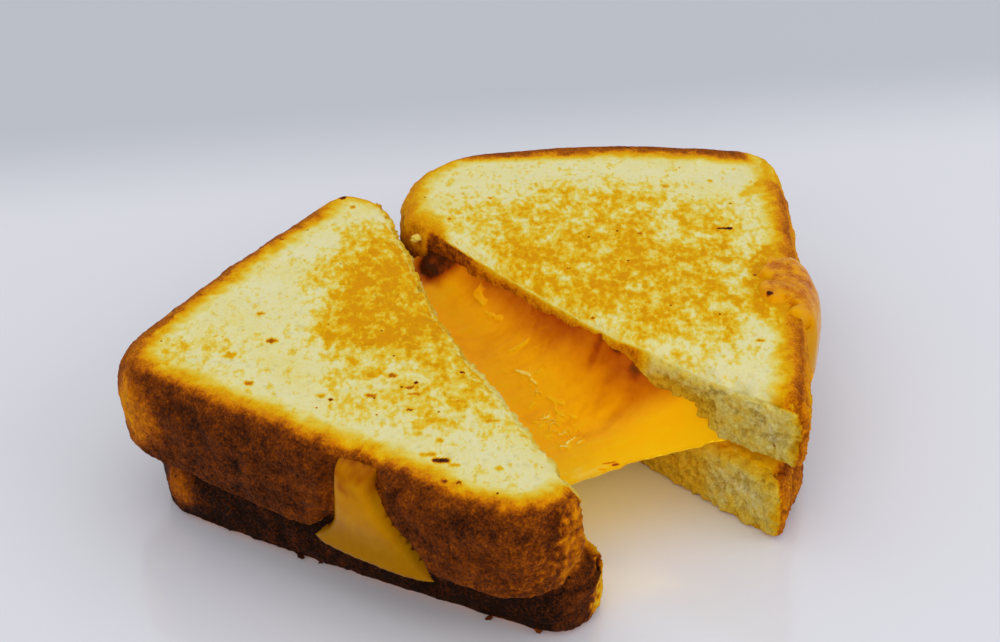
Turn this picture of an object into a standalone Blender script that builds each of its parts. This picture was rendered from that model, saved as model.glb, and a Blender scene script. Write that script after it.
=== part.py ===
# Toasted cheese sandwich cut corner to corner: two stacked halves pulled apart in a wedge,
# still touching at the back corner, with melted cheese stretched between them.
# +X runs from the near-side half to the other one, -Y is the open end of the wedge.
# Lengths are in millimetres here and are scaled to metres when a mesh is written.
import math

import bmesh
import bpy
from mathutils import Vector, noise

MM = 0.001

# Heights of the stack
LOWER_SLICE_TOP = 17.0
CHEESE_BOTTOM = 17.3
CHEESE_TOP = 19.2
UPPER_SLICE_BOTTOM = 19.5
NEAR_TOP = 37.5
FAR_TOP = 37.2

# Outlines seen from above, counterclockwise: x, y, corner radius, bow of the side that
# follows (outwards is positive) and how that side was made
CRUST = "crust"
CUT = "cut"
NEAR_TOP_OUTLINE = (
    (-4.1, 54.7, 0.8, 0.3, CRUST),
    (-10.2, 65.2, 5.0, 1.0, CRUST),
    (-92.9, 29.3, 14.0, 1.2, CRUST),
    (-49.7, -73.6, 13.0, 0.0, CRUST),
    (-35.4, -66.7, 1.0, 0.0, CUT),
    (-22.9, 0.9, 150.0, 0.0, CUT),
)
NEAR_BOTTOM_OUTLINE = (
    (-4.4, 53.0, 0.8, 0.0, CRUST),
    (-9.7, 62.4, 6.0, 0.8, CRUST),
    (-87.6, 22.9, 14.0, 0.8, CRUST),
    (-36.4, -72.2, 9.0, 0.0, CRUST),
    (-25.0, -60.4, 1.2, 0.0, CUT),
    (-19.0, -1.4, 150.0, 0.0, CUT),
)
FAR_TOP_OUTLINE = (
    (-3.6, 36.4, 1.0, 0.0, CUT),
    (3.6, -21.5, 80.0, 0.0, CUT),
    (20.4, -70.5, 1.5, 1.8, CRUST),
    (94.2, 21.8, 13.0, 2.5, CRUST),
    (14.6, 75.2, 26.0, 0.0, CRUST),
    (-3.8, 45.1, 9.0, 0.0, CRUST),
)
FAR_BOTTOM_OUTLINE = (
    (-2.0, 34.6, 1.0, -1.0, CUT),
    (18.2, -67.5, 1.0, 0.0, CRUST),
    (31.0, -58.8, 16.0, 1.4, CRUST),
    (90.6, 19.0, 14.0, 2.0, CRUST),
    (14.7, 70.4, 24.0, 0.0, CRUST),
    (-2.4, 45.4, 8.0, 0.0, CRUST),
)
NEAR_LAYER_OUTLINE = (
    (-6.5, 48.0, 1.0, 0.0, CUT),
    (-13.5, 54.5, 6.0, 0.0, CUT),
    (-79.5, 22.0, 14.0, 0.0, CUT),
    (-41.5, -57.5, 9.0, 0.0, CUT),
    (-31.6, -52.5, 3.0, 0.0, CUT),
    (-20.5, 0.0, 150.0, 0.0, CUT),
)
FAR_LAYER_OUTLINE = (
    (-5.4, 33.0, 1.0, 0.0, CUT),
    (1.2, -21.5, 80.0, 0.0, CUT),
    (11.8, -50.0, 2.0, 0.0, CUT),
    (29.0, -55.0, 10.0, 1.0, CUT),
    (88.5, 19.5, 14.0, 1.0, CUT),
    (16.0, 68.0, 24.0, 0.0, CUT),
    (0.5, 44.0, 8.0, 0.0, CUT),
)

# Bread shape
SPACING = 4.2
CRUST_SWELL = 1.4
RIM_RADIUS = 3.0
FOOT_RADIUS = 1.6
NEAR_CUT_RIM_RADIUS = 1.4
FAR_CUT_RIM_RADIUS = 2.4
CUT_FOOT_RADIUS = 0.8
CRAG_HEIGHT = 0.55
CRUMB_HEIGHT = 0.45
TOP_WAVE = 0.35
TOP_GRID = 11.0
UNDERSIDE_GRID = 7.0
DROOP = 4.2
DROOP_FROM = 1.2
DROOP_TO = 5.0
DROOP_HEIGHT = 9.0

# Recess of the crust that the cheese drip lies in, along the near half's long crust side
LEG_START = (-88.9, 21.6)
LEG_END = (-52.2, -67.8)
DRIP_TOP_FROM = 52.8
DRIP_TOP_TO = 65.6
DRIP_FOOT_FROM = 46.0
DRIP_FOOT_TO = 80.0
RECESS_DEPTH = 2.6
DRIP_THICKNESS = 2.2
DRIP_TOP_HEIGHT = 35.6
DRIP_FOOT_HEIGHT = 13.4
DRIP_SIDE_GAP = 1.4
SHELF_FROM = 56.0
SHELF_TO = 71.0
SHELF_DEPTH = 14.0

# Stretch of the same side that has more points than the rest of an outline
FINE_FROM = 46.0
FINE_TO = 84.0

# Where the upper slice stops sagging beside the drip, and where it starts again
HELD_FROM = (48.0, 52.0)
HELD_TO = (72.0, 77.0)

# Stretched cheese between the cut faces
WEB_ALONG = 40
WEB_ACROSS = 16
WEB_NEAR_ENDS = (42.0, -45.0)
WEB_FAR_ENDS = (33.5, -54.0)
WEB_PULL = 2.6
WEB_THICKNESS = 2.2
WEB_LIP = 1.3
WEB_NEAR_HEIGHT = 19.2
WEB_NEAR_RISE = 9.5
WEB_FAR_HEIGHT = 20.0
WEB_FAR_SHOULDER = 8.2
WEB_FAR_RISE = 6.0

# Cheese that ran out on the far half's outer side
OOZE_FROM = 0.31
OOZE_TO = 0.60

COLOURS = {
    "toast": (0.72, 0.55, 0.24),
    "toast_under": (0.36, 0.17, 0.06),
    "cheese": (0.83, 0.42, 0.02),
}


def arc_points(corner, before, after, radius, steps):
    """Points on a rounded corner, from the side that arrives to the side that leaves."""
    to_before = (before - corner).normalized()
    to_after = (after - corner).normalized()
    half = to_before.angle(to_after) / 2
    reach = radius / math.tan(half)
    middle = corner + (to_before + to_after).normalized() * radius / math.sin(half)
    start = corner + to_before * reach - middle
    end = corner + to_after * reach - middle
    turn = start.angle(end)
    points = []
    for step in range(steps + 1):
        share = step / steps
        a = math.sin((1 - share) * turn) / math.sin(turn)
        b = math.sin(share * turn) / math.sin(turn)
        points.append(middle + start * a + end * b)
    return points


def outline(corners, spacing, fine=None):
    """Points round an outline, each with how much of it is crust (1) or cut (0)."""
    rounded = []
    count = len(corners)
    for index, (x, y, radius, _, _) in enumerate(corners):
        corner = Vector((x, y, 0))
        before = Vector(corners[index - 1][:2] + (0,))
        after = Vector(corners[(index + 1) % count][:2] + (0,))
        turn = math.pi - (before - corner).angle(after - corner)
        steps = max(2, round(radius * turn / spacing))
        rounded.append(arc_points(corner, before, after, radius, steps))
    points = []
    for index, arc in enumerate(rounded):
        _, _, _, bow, made = corners[index]
        arrives = corners[index - 1][4]
        for step, point in enumerate(arc):
            share = step / (len(arc) - 1)
            kind = made if share >= 0.5 else arrives
            points.append((point, 1.0 if kind == CRUST else 0.0))
        start = arc[-1]
        end = rounded[(index + 1) % count][0]
        side = end - start
        outwards = Vector((side.y, -side.x, 0)).normalized()
        steps = max(1, round(side.length / spacing))
        for step in range(1, steps):
            share = step / steps
            point = start + side * share + outwards * bow * 4 * share * (1 - share)
            points.append((point, 1.0 if made == CRUST else 0.0))
    if fine:
        points = refined(points, *fine)
    return points


def refined(points, first, last, from_length, to_length):
    """The same outline with one more point in each step near the drip's two edges."""
    start = Vector(first + (0,))
    along = (Vector(last + (0,)) - start).normalized()
    made = []
    for index, (point, crust) in enumerate(points):
        made.append((point, crust))
        after = points[(index + 1) % len(points)][0]
        middle = (point + after) / 2
        length = (middle - start).dot(along)
        aside = abs((middle - start).cross(along).z)
        if aside < 8 and from_length < length < to_length:
            made.append((middle, crust))
    return made


def softened(points, reach):
    """Crust shares blended over the points beside each change."""
    shares = [crust for _, crust in points]
    for _ in range(reach):
        shares = [
            (shares[index - 1] + 2 * share + shares[(index + 1) % len(shares)]) / 4
            for index, share in enumerate(shares)
        ]
    return shares


def outward_normals(points):
    normals = []
    for index in range(len(points)):
        side = points[(index + 1) % len(points)][0] - points[index - 1][0]
        normals.append(Vector((side.y, -side.x, 0)).normalized())
    return normals


def fractal(point, size, seed):
    """Smooth unevenness between about -1 and 1, with detail of this size in millimetres."""
    place = Vector(point) / size + Vector((seed * 7.3, seed * 3.1, seed * 1.7))
    return noise.noise(place) + 0.5 * noise.noise(place * 2.1)


def smooth_step(low, high, value):
    share = min(1.0, max(0.0, (value - low) / (high - low)))
    return share * share * (3 - 2 * share)


def drip_edges(height):
    """Where the drip starts and ends along the crust side at this height."""
    share = (height - DRIP_FOOT_HEIGHT) / (DRIP_TOP_HEIGHT - DRIP_FOOT_HEIGHT)
    share = min(1.0, max(0.0, share))
    start = DRIP_TOP_FROM + (DRIP_FOOT_FROM - DRIP_TOP_FROM) * (1 - share) ** 4
    end = DRIP_TOP_TO + (DRIP_FOOT_TO - DRIP_TOP_TO) * (1 - share) ** 1.6
    return start, end


def along_leg(point):
    start = Vector(LEG_START + (0,))
    along = (Vector(LEG_END + (0,)) - start).normalized()
    flat = Vector((point.x, point.y, 0)) - start
    return flat.dot(along), along.cross(flat).z


def recess(point, height):
    """Depth of the hollow under the drip at this place of the crust."""
    length, aside = along_leg(point)
    if abs(aside) > 12:
        return 0.0
    start, end = drip_edges(height)
    inside = smooth_step(start - 1.2, start + 1.2, length)
    inside *= 1 - smooth_step(end - 1.2, end + 1.2, length)
    return RECESS_DEPTH * inside


def outside(place, polygon):
    """How far this place lies outside a polygon seen from above, or 0 inside it."""
    nearest = 1e9
    within = False
    for index, end in enumerate(polygon):
        start = polygon[index - 1]
        side = end - start
        share = min(1.0, max(0.0, (place - start).dot(side) / side.length_squared))
        nearest = min(nearest, (place - start - side * share).length)
        if (start.y > place.y) != (end.y > place.y):
            if place.x < start.x + (place.y - start.y) * side.x / side.y:
                within = not within
    return 0.0 if within else nearest


def ring(points, normals, shares, height, inset, swell, relief, seed, settled):
    """One level of a slice: the outline moved in by its rounding and out by its relief.
    Where the height after the sag is given, it is hollowed for the drip too."""
    level = []
    for (point, _), normal, crust in zip(points, normals, shares):
        rounding = inset[0] * crust + inset[1] * (1 - crust)
        place = point + normal * (swell * crust - rounding)
        spot = Vector((place.x, place.y, height))
        crags = fractal(spot, 7.0, seed) * CRAG_HEIGHT * crust
        crumb = fractal(spot, 5.0, seed + 3) * CRUMB_HEIGHT * (1 - crust)
        place = place + normal * (crags + crumb) * relief
        if settled:
            place = place - normal * recess(place, settled(place, height))
        level.append(Vector((place.x, place.y, height)))
    return level


def slice_levels(bottom, top, cut_rim):
    """Heights of the levels with their insets at crust and cut, swell and relief share."""
    tall = top - bottom
    rim = RIM_RADIUS
    levels = [(bottom, (FOOT_RADIUS, CUT_FOOT_RADIUS), 0.0, 0.0)]
    levels.append((bottom + 1.4, (0.2, 0.1), CRUST_SWELL * 0.45, 0.9))
    for share in (0.27, 0.46, 0.64):
        swell = CRUST_SWELL * (1 - (2 * share - 1) ** 2)
        levels.append((bottom + tall * share, (0.0, 0.0), swell, 1.0))
    levels.append((top - rim, (0.3, 0.0), CRUST_SWELL * 0.3, 1.0))
    levels.append((top - rim * 0.42, (rim * 0.26, cut_rim * 0.25), 0.0, 0.8))
    levels.append((top, (rim, cut_rim), 0.0, 0.25))
    return levels


def bread_slice(
    name, corners, bottom, top, colour, seed, top_shape,
    below=None, sags=None, cut_rim=NEAR_CUT_RIM_RADIUS,
):
    """A half slice: its outline drawn as one face, then raised level by level. Where it
    overhangs the slice below, its underside sags."""
    support = [point for point, _ in outline(below, SPACING)] if below else None

    def settled(place, height):
        """Height of this place after the sag, which is deepest at the underside."""
        share = 1 - smooth_step(0.0, DROOP_HEIGHT, height - bottom)
        if share == 0:
            return height
        flat = Vector((place.x, place.y, 0))
        sag = sags(flat) * smooth_step(DROOP_FROM, DROOP_TO, outside(flat, support))
        return height - sag * share

    hollow = settled if sags is near_sag else None
    fine = (LEG_START, LEG_END, FINE_FROM, FINE_TO) if hollow else None
    points = outline(corners, SPACING, fine)
    normals = outward_normals(points)
    shares = softened(points, 2)
    levels = slice_levels(bottom, top, cut_rim)
    shape = bmesh.new()
    places = ring(points, normals, shares, *levels[0], seed, hollow)
    face = shape.faces.new([shape.verts.new(place) for place in places])
    for level in levels[1:]:
        places = ring(points, normals, shares, *level, seed, hollow)
        grown = bmesh.ops.extrude_face_region(shape, geom=[face])
        if level is not levels[1]:
            bmesh.ops.delete(shape, geom=[face], context="FACES_ONLY")
        face = next(item for item in grown["geom"] if isinstance(item, bmesh.types.BMFace))
        for vertex, place in zip(face.verts, places):
            vertex.co = place
    if below:
        cut_grid(shape, top, TOP_GRID)
        cut_grid(shape, bottom, UNDERSIDE_GRID)
        for vertex in shape.verts:
            vertex.co.z = settled(vertex.co, vertex.co.z)
    for vertex in shape.verts:
        if vertex.co.z > top - 0.01:
            wave = TOP_WAVE if below else 0.1
            vertex.co.z = top_shape(vertex.co) + fractal(vertex.co, 17.0, seed + 5) * wave
        elif vertex.co.z > top - RIM_RADIUS - 0.01:
            vertex.co.z += top_shape(vertex.co) - top
    bmesh.ops.recalc_face_normals(shape, faces=shape.faces)
    bmesh.ops.triangulate(shape, faces=shape.faces)
    return finished(name, shape, colour)


def cut_grid(shape, height, spacing):
    """Splits the flat face at this height along even lines, so that it can be uneven."""
    rim = [vertex for vertex in shape.verts if abs(vertex.co.z - height) < 1e-6]
    low = [min(vertex.co[axis] for vertex in rim) for axis in (0, 1)]
    high = [max(vertex.co[axis] for vertex in rim) for axis in (0, 1)]
    for axis in (0, 1):
        count = int((high[axis] - low[axis]) / spacing)
        for step in range(1, count + 1):
            place = low[axis] + step * (high[axis] - low[axis]) / (count + 1)
            flat = [f for f in shape.faces if all(abs(v.co.z - height) < 1e-6 for v in f.verts)]
            edges = {edge for f in flat for edge in f.edges}
            verts = {vertex for f in flat for vertex in f.verts}
            point = Vector((0, 0, height))
            point[axis] = place
            across = Vector((0, 0, 0))
            across[axis] = 1
            bmesh.ops.bisect_plane(
                shape,
                geom=flat + list(edges) + list(verts),
                dist=0.2,
                plane_co=point,
                plane_no=across,
            )


def finished(name, shape, colour, helper=False):
    """Writes the mesh in metres as a named object with its own material."""
    for vertex in shape.verts:
        vertex.co *= MM
    mesh = bpy.data.meshes.new(name)
    shape.to_mesh(mesh)
    shape.free()
    piece = bpy.data.objects.new(name, mesh)
    if helper:
        piece.hide_render = True
        piece.display_type = "WIRE"
        cutters.objects.link(piece)
        return piece
    material = bpy.data.materials.new(name)
    material.use_nodes = True
    shader = material.node_tree.nodes["Principled BSDF"]
    shader.inputs["Base Color"].default_value = colour + (1,)
    shader.inputs["Roughness"].default_value = 0.85 if "slice" in name else 0.3
    shader.inputs["Metallic"].default_value = 0.0
    mesh.materials.append(material)
    mesh.shade_smooth()
    mesh.set_sharp_from_angle(angle=math.radians(50))
    sandwich.objects.link(piece)
    return piece


def near_sag(place):
    """The near half's upper slice sags wherever it overhangs, except over the drip."""
    length, _ = along_leg(place)
    held = smooth_step(*HELD_FROM, length) * (1 - smooth_step(*HELD_TO, length))
    return DROOP * (1 - held)


def far_sag(place):
    """The far half's upper slice sags at its front tip only."""
    return DROOP * (1 - smooth_step(8.0, 20.0, (place - Vector((20.4, -70.5, 0))).length))


def near_top_shape(place):
    return NEAR_TOP


def far_top_shape(place):
    """The far half's top: pressed down along its cut, with a dent by its right-angle corner."""
    flat = Vector((place.x, place.y, 0))
    from_cut = (flat - Vector((2.0, -20.0, 0))).dot(Vector((0.935, 0.354, 0)))
    pressed = 1.2 * (1 - smooth_step(0.0, 18.0, from_cut))
    from_dent = (flat - Vector((79.0, 20.0, 0))).length
    return FAR_TOP - pressed - 1.4 * (1 - smooth_step(2.0, 9.0, from_dent))


def near_bottom_shape(place):
    """Pressed down at the open end of its cut."""
    end = (Vector((place.x, place.y, 0)) - Vector((-27.5, -62.0, 0))).length
    return LOWER_SLICE_TOP - 4.0 * (1 - smooth_step(2.0, 16.0, end))


def far_bottom_shape(place):
    return LOWER_SLICE_TOP


def cut_line(corners, first, last, count):
    """Evenly spaced points along the cut side of an outline, between two y values."""
    points = [point for point, crust in outline(corners, 1.0) if crust < 0.5]
    points.sort(key=lambda point: -point.y)
    line = []
    for step in range(count + 1):
        y = first + (last - first) * step / count
        pair = next(
            (points[i], points[i + 1])
            for i in range(len(points) - 1)
            if points[i].y >= y >= points[i + 1].y
        )
        share = (pair[0].y - y) / max(1e-6, pair[0].y - pair[1].y)
        line.append(pair[0].lerp(pair[1], share))
    return line


def sheet(rows, columns, lower, upper):
    """A closed sheet over a grid: lower and upper give its two faces at each share."""
    shape = bmesh.new()
    bmesh.ops.create_grid(shape, x_segments=rows, y_segments=columns, size=0.5)
    spots = {vertex: (vertex.co.x + 0.5, vertex.co.y + 0.5) for vertex in shape.verts}
    grown = bmesh.ops.extrude_face_region(shape, geom=shape.faces[:], use_keep_orig=True)
    for item in grown["geom"]:
        if isinstance(item, bmesh.types.BMVert):
            item.co = Vector(upper(item.co.x + 0.5, item.co.y + 0.5))
    for vertex, (row, column) in spots.items():
        vertex.co = Vector(lower(row, column))
    bmesh.ops.recalc_face_normals(shape, faces=shape.faces)
    bmesh.ops.triangulate(shape, faces=shape.faces)
    return shape


def web_height(row, column):
    """Upper face of the stretched cheese: row runs from the joined corner to the free edge,
    column from the near half's cut to the far half's."""
    near = WEB_NEAR_HEIGHT + WEB_NEAR_RISE * (1 - row) ** 1.3
    far = WEB_FAR_HEIGHT + WEB_FAR_RISE * (1 - smooth_step(0.70, 0.82, row))
    far += WEB_FAR_SHOULDER * (1 - smooth_step(0.88, 1.02, row))
    sag = 2.4 * math.sin(math.pi * row) + 0.6
    rise = 0.35 * column + 0.65 * column ** 3
    ripple = 0.35 * math.sin(13 * row + 2.5 * column) * math.sin(math.pi * column)
    return near + (far - near) * rise - sag * 4 * column * (1 - column) + ripple


def web_place(row, column):
    """Place in plan, between the two cut lines."""
    share = row * WEB_ALONG
    low = min(int(share), WEB_ALONG - 1)
    near = web_near[low].lerp(web_near[low + 1], share - low)
    far = web_far[low].lerp(web_far[low + 1], share - low)
    place = near.lerp(far, column)
    pull = WEB_PULL * smooth_step(0.75, 1.0, row) * 4 * column * (1 - column)
    return place + Vector((0, pull, 0))


def web_upper(row, column):
    place = web_place(row, column)
    return (place.x, place.y, web_height(row, column))


def web_lower(row, column):
    place = web_place(row, column)
    height = web_height(row, column)
    thin = WEB_LIP + (WEB_THICKNESS - WEB_LIP) * (1 - smooth_step(0.85, 1.0, row))
    edge = abs(2 * column - 1) ** 7 * (1 - smooth_step(0.8, 1.0, row))
    thick = max(thin, (height - CHEESE_BOTTOM) * edge)
    return (place.x, place.y, max(CHEESE_BOTTOM, height - thick))


def drip_surface(row, column, out):
    """Drip on the crust: row runs along the side, column from its foot to its top."""
    height = DRIP_FOOT_HEIGHT + (DRIP_TOP_HEIGHT - DRIP_FOOT_HEIGHT) * column
    start, end = drip_edges(height)
    start += DRIP_SIDE_GAP
    end -= DRIP_SIDE_GAP
    length = start + (end - start) * row
    base = Vector(LEG_START + (0,))
    along = (Vector(LEG_END + (0,)) - base).normalized()
    outwards = Vector((along.y, -along.x, 0))
    share = (height - UPPER_SLICE_BOTTOM) / (NEAR_TOP - UPPER_SLICE_BOTTOM)
    swell = CRUST_SWELL * max(0.0, 1 - (2 * share - 1) ** 2)
    rim = max(0.0, height - (NEAR_TOP - RIM_RADIUS)) ** 2 * 0.30
    bow = 1.2 * 4 * (length / 96.6) * (1 - length / 96.6)
    floor = bow + swell - rim - RECESS_DEPTH + 1.0
    edge = abs(2 * row - 1) ** 4
    proud = floor + (DRIP_THICKNESS * (1 - 0.75 * edge) * out)
    lip = 0.7 * out * (1 - smooth_step(0.0, 0.16, column))
    place = base + along * length + outwards * (proud + lip)
    return (place.x, place.y, height)


def drip_shelf(row, column, top):
    """Cheese that joins the drip to the layer under the upper slice."""
    length = SHELF_FROM + (SHELF_TO - SHELF_FROM) * row
    base = Vector(LEG_START + (0,))
    along = (Vector(LEG_END + (0,)) - base).normalized()
    outwards = Vector((along.y, -along.x, 0))
    place = base + along * length + outwards * (0.2 * column - SHELF_DEPTH * (1 - column))
    return (place.x, place.y, CHEESE_TOP if top else CHEESE_BOTTOM)


def ooze_side(share):
    """Point and outward direction on the far half's outer crust side."""
    start = Vector((21.3, -69.3, 0))
    side = Vector((85.2, 10.6, 0)) - start
    outwards = Vector((side.y, -side.x, 0)).normalized()
    bow = 1.8 * 4 * share * (1 - share)
    return start + side * share + outwards * bow, outwards


def ooze_profile(row, column):
    """Outward distance and height of the crust under the ooze, with the surface normal:
    column runs from the gap between the slices up the crust and onto the top."""
    over = 1.5 + 6.0 * math.sin(math.pi * row) ** 0.7
    path = [(1.2, 17.4), (1.2, 20.0), (1.4, 24.5), (1.4, 29.0), (0.9, 32.4), (0.1, 34.4)]
    path += [(-0.9, 36.0), (-2.0, 36.9), (-3.4, 37.3), (-3.4 - over * 0.5, 37.4)]
    path += [(-3.4 - over, 37.4)]
    place = column * (len(path) - 1)
    low = min(int(place), len(path) - 2)
    start = Vector(path[low])
    end = Vector(path[low + 1])
    before = Vector(path[max(0, low - 1)])
    after = Vector(path[min(len(path) - 1, low + 2)])
    share = place - low
    along = (end - before).lerp(after - start, share).normalized()
    return start.lerp(end, share), Vector((along.y, -along.x))


def ooze_surface(row, column, out):
    """Cheese on the outer side: row runs along the side, column from its foot over the rim."""
    share = OOZE_FROM + (OOZE_TO - OOZE_FROM) * row
    base, outwards = ooze_side(share)
    spot, normal = ooze_profile(row, column)
    width = math.sin(math.pi * row) ** 0.6
    middle = 0.55 + 0.45 * math.sin(math.pi * row)
    bulge = 2.5 * width * middle * (1 - smooth_step(0.35, 0.75, column))
    spot = spot + normal * (0.6 + (0.55 + 0.25 * width + bulge) * out)
    place = base + outwards * spot.x
    return (place.x, place.y, spot.y)


def ooze_shelf(row, column, top):
    """Cheese that joins the ooze to the layer under the upper slice."""
    share = OOZE_FROM + 0.04 + (OOZE_TO - OOZE_FROM - 0.08) * row
    place, outwards = ooze_side(share)
    place = place + outwards * (-9.0 + 11.4 * column)
    return (place.x, place.y, CHEESE_TOP if top else CHEESE_BOTTOM)


def layer(name, corners):
    """Flat cheese layer between two slices."""
    points = outline(corners, 5.0)
    shape = bmesh.new()
    face = shape.faces.new([shape.verts.new((p.x, p.y, CHEESE_BOTTOM)) for p, _ in points])
    grown = bmesh.ops.extrude_face_region(shape, geom=[face], use_keep_orig=True)
    for item in grown["geom"]:
        if isinstance(item, bmesh.types.BMVert):
            item.co.z = CHEESE_TOP
    bmesh.ops.recalc_face_normals(shape, faces=shape.faces)
    bmesh.ops.triangulate(shape, faces=shape.faces)
    return finished(name, shape, COLOURS["cheese"], helper=True)


def joined(piece, others):
    for other in others:
        union = piece.modifiers.new("join " + other.name, "BOOLEAN")
        union.operation = "UNION"
        union.solver = "EXACT"
        union.object = other


# Clear scene
for item in list(bpy.data.objects):
    bpy.data.objects.remove(item)
sandwich = bpy.data.collections.new("sandwich")
cutters = bpy.data.collections.new("cutters")
bpy.context.scene.collection.children.link(sandwich)
bpy.context.scene.collection.children.link(cutters)
cutters.hide_render = True

# Bread
bread_slice(
    "near_bottom_slice", NEAR_BOTTOM_OUTLINE, 0.0, LOWER_SLICE_TOP,
    COLOURS["toast_under"], 1, near_bottom_shape,
)
bread_slice(
    "near_top_slice", NEAR_TOP_OUTLINE, UPPER_SLICE_BOTTOM, NEAR_TOP,
    COLOURS["toast"], 2, near_top_shape, NEAR_BOTTOM_OUTLINE, near_sag,
)
bread_slice(
    "far_bottom_slice", FAR_BOTTOM_OUTLINE, 0.0, LOWER_SLICE_TOP,
    COLOURS["toast_under"], 3, far_bottom_shape,
)
bread_slice(
    "far_top_slice", FAR_TOP_OUTLINE, UPPER_SLICE_BOTTOM, FAR_TOP,
    COLOURS["toast"], 4, far_top_shape, FAR_BOTTOM_OUTLINE, far_sag, FAR_CUT_RIM_RADIUS,
)

# Cheese
web_near = cut_line(NEAR_TOP_OUTLINE, *WEB_NEAR_ENDS, WEB_ALONG)
web_far = cut_line(FAR_TOP_OUTLINE, *WEB_FAR_ENDS, WEB_ALONG)
web_near = [point + Vector((1.2, 0, 0)) for point in web_near]
web_far = [point - Vector((1.1, 0, 0)) for point in web_far]
cheese = finished("cheese", sheet(WEB_ALONG, WEB_ACROSS, web_lower, web_upper), COLOURS["cheese"])
near_layer = layer("near layer", NEAR_LAYER_OUTLINE)
far_layer = layer("far layer", FAR_LAYER_OUTLINE)
drip = finished(
    "drip",
    sheet(10, 10, lambda r, c: drip_surface(r, c, 0.0), lambda r, c: drip_surface(r, c, 1.0)),
    COLOURS["cheese"], helper=True,
)
shelf = finished(
    "drip shelf",
    sheet(6, 2, lambda r, c: drip_shelf(r, c, False), lambda r, c: drip_shelf(r, c, True)),
    COLOURS["cheese"], helper=True,
)
ooze = finished(
    "ooze",
    sheet(10, 10, lambda r, c: ooze_surface(r, c, 0.0), lambda r, c: ooze_surface(r, c, 1.0)),
    COLOURS["cheese"], helper=True,
)
ooze_join = finished(
    "ooze shelf",
    sheet(8, 2, lambda r, c: ooze_shelf(r, c, False), lambda r, c: ooze_shelf(r, c, True)),
    COLOURS["cheese"], helper=True,
)
joined(cheese, [near_layer, far_layer, shelf, drip, ooze_join, ooze])

# Placement: the centre of the underside at the origin
bpy.context.view_layer.update()
graph = bpy.context.evaluated_depsgraph_get()
ends = [
    corner
    for piece in sandwich.objects
    for corner in (Vector(place) for place in piece.evaluated_get(graph).bound_box)
]
low = [min(corner[axis] for corner in ends) for axis in range(3)]
high = [max(corner[axis] for corner in ends) for axis in range(3)]
centre = bpy.data.objects.new("centre", None)
sandwich.objects.link(centre)
centre.location = (-(low[0] + high[0]) / 2, -(low[1] + high[1]) / 2, -low[2])
for piece in list(sandwich.objects) + list(cutters.objects):
    if piece is not centre:
        piece.parent = centre
print("placed by", [round(value / MM, 3) for value in centre.location])
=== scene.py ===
# %% [markdown]
# # A toasted cheese sandwich, pulled apart
# The sandwich is cut corner to corner. Its two halves are drawn apart in a wedge, and the melted
# cheese stretches between them. The solids of the frame already have the true form, so each
# lesson below takes one solid, gives it a fine even mesh, and adds what heat and a knife did to
# it: crust, crumb, toasting, melted cheese. The frame comes first, because every place is
# measured in it.

import math

import bmesh
import bpy
import numpy as np
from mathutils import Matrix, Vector, geometry, noise


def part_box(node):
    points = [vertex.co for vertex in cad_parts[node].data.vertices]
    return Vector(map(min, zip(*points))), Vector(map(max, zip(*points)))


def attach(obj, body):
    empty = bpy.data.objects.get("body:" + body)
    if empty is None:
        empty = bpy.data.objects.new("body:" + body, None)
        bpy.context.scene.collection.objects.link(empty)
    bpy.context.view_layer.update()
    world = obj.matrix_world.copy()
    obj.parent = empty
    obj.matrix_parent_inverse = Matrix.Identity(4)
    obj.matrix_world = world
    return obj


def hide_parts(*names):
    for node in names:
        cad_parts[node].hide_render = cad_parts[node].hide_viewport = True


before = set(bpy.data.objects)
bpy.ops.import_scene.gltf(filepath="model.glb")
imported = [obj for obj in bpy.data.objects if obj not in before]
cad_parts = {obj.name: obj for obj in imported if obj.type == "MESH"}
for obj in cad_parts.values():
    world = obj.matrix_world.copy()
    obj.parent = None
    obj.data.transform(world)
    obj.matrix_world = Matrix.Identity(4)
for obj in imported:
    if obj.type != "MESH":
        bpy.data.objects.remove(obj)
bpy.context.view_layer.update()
MM = 0.001

# %% [markdown]
# ## Where things are
# Places on the sandwich are easiest to give from the middle of its cut, in millimetres. The
# frame has its origin under the middle of the whole, so one small shift joins the two.

# %% Shift from the cut's own millimetres to the frame
CUT_SHIFT = np.array([0.109, 2.155, 0.0])


def to_frame(x, y, z):
    return Vector((x, y, z)) * MM + Vector(CUT_SHIFT) * MM


def smooth_step(low, high, value):
    """Smooth rise from 0 at the low value to 1 at the high one."""
    share = np.clip((value - low) / (high - low), 0.0, 1.0)
    return share * share * (3 - 2 * share)


def fade(low, high, value):
    """Smooth fall from 1 at the low value to 0 at the high one."""
    return 1 - smooth_step(low, high, value)


# %% [markdown]
# ## The camera
# The picture was taken from a little above table height with a moderately long lens: the sides
# of the two halves hardly converge. The camera looks down by 32 degrees, and along a line 35
# degrees off the +Y axis, which is where the edges of the sandwich line up with the picture.

# %% Camera
LENS_MM = 72.0
SENSOR_MM = 36.0
CAMERA_PLACE = (-227.3, -313.6, 270.5)
LOOKS_DOWN = math.radians(32)
LOOKS_ASIDE = math.radians(35)

lens = bpy.data.cameras.new("camera")
lens.lens = LENS_MM
lens.sensor_width = SENSOR_MM
lens.clip_start = 0.01
camera = bpy.data.objects.new("camera", lens)
camera.location = to_frame(*CAMERA_PLACE)
camera.rotation_euler = (math.pi / 2 - LOOKS_DOWN, 0, -LOOKS_ASIDE)
bpy.context.scene.collection.objects.link(camera)
bpy.context.scene.camera = camera
print("camera", [round(value, 4) for value in camera.location])

# %% [markdown]
# ## Table and light
# The table is a pale, slightly glossy sheet. Behind the sandwich it turns a soft grey, along a
# line that is not quite level. A broad soft box above and behind the food makes the tops bright.
# A window far to the right lights the wedge and the cut faces, and another on the left keeps
# the long crust side that faces us out of full shade. An even surround fills in.

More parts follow.
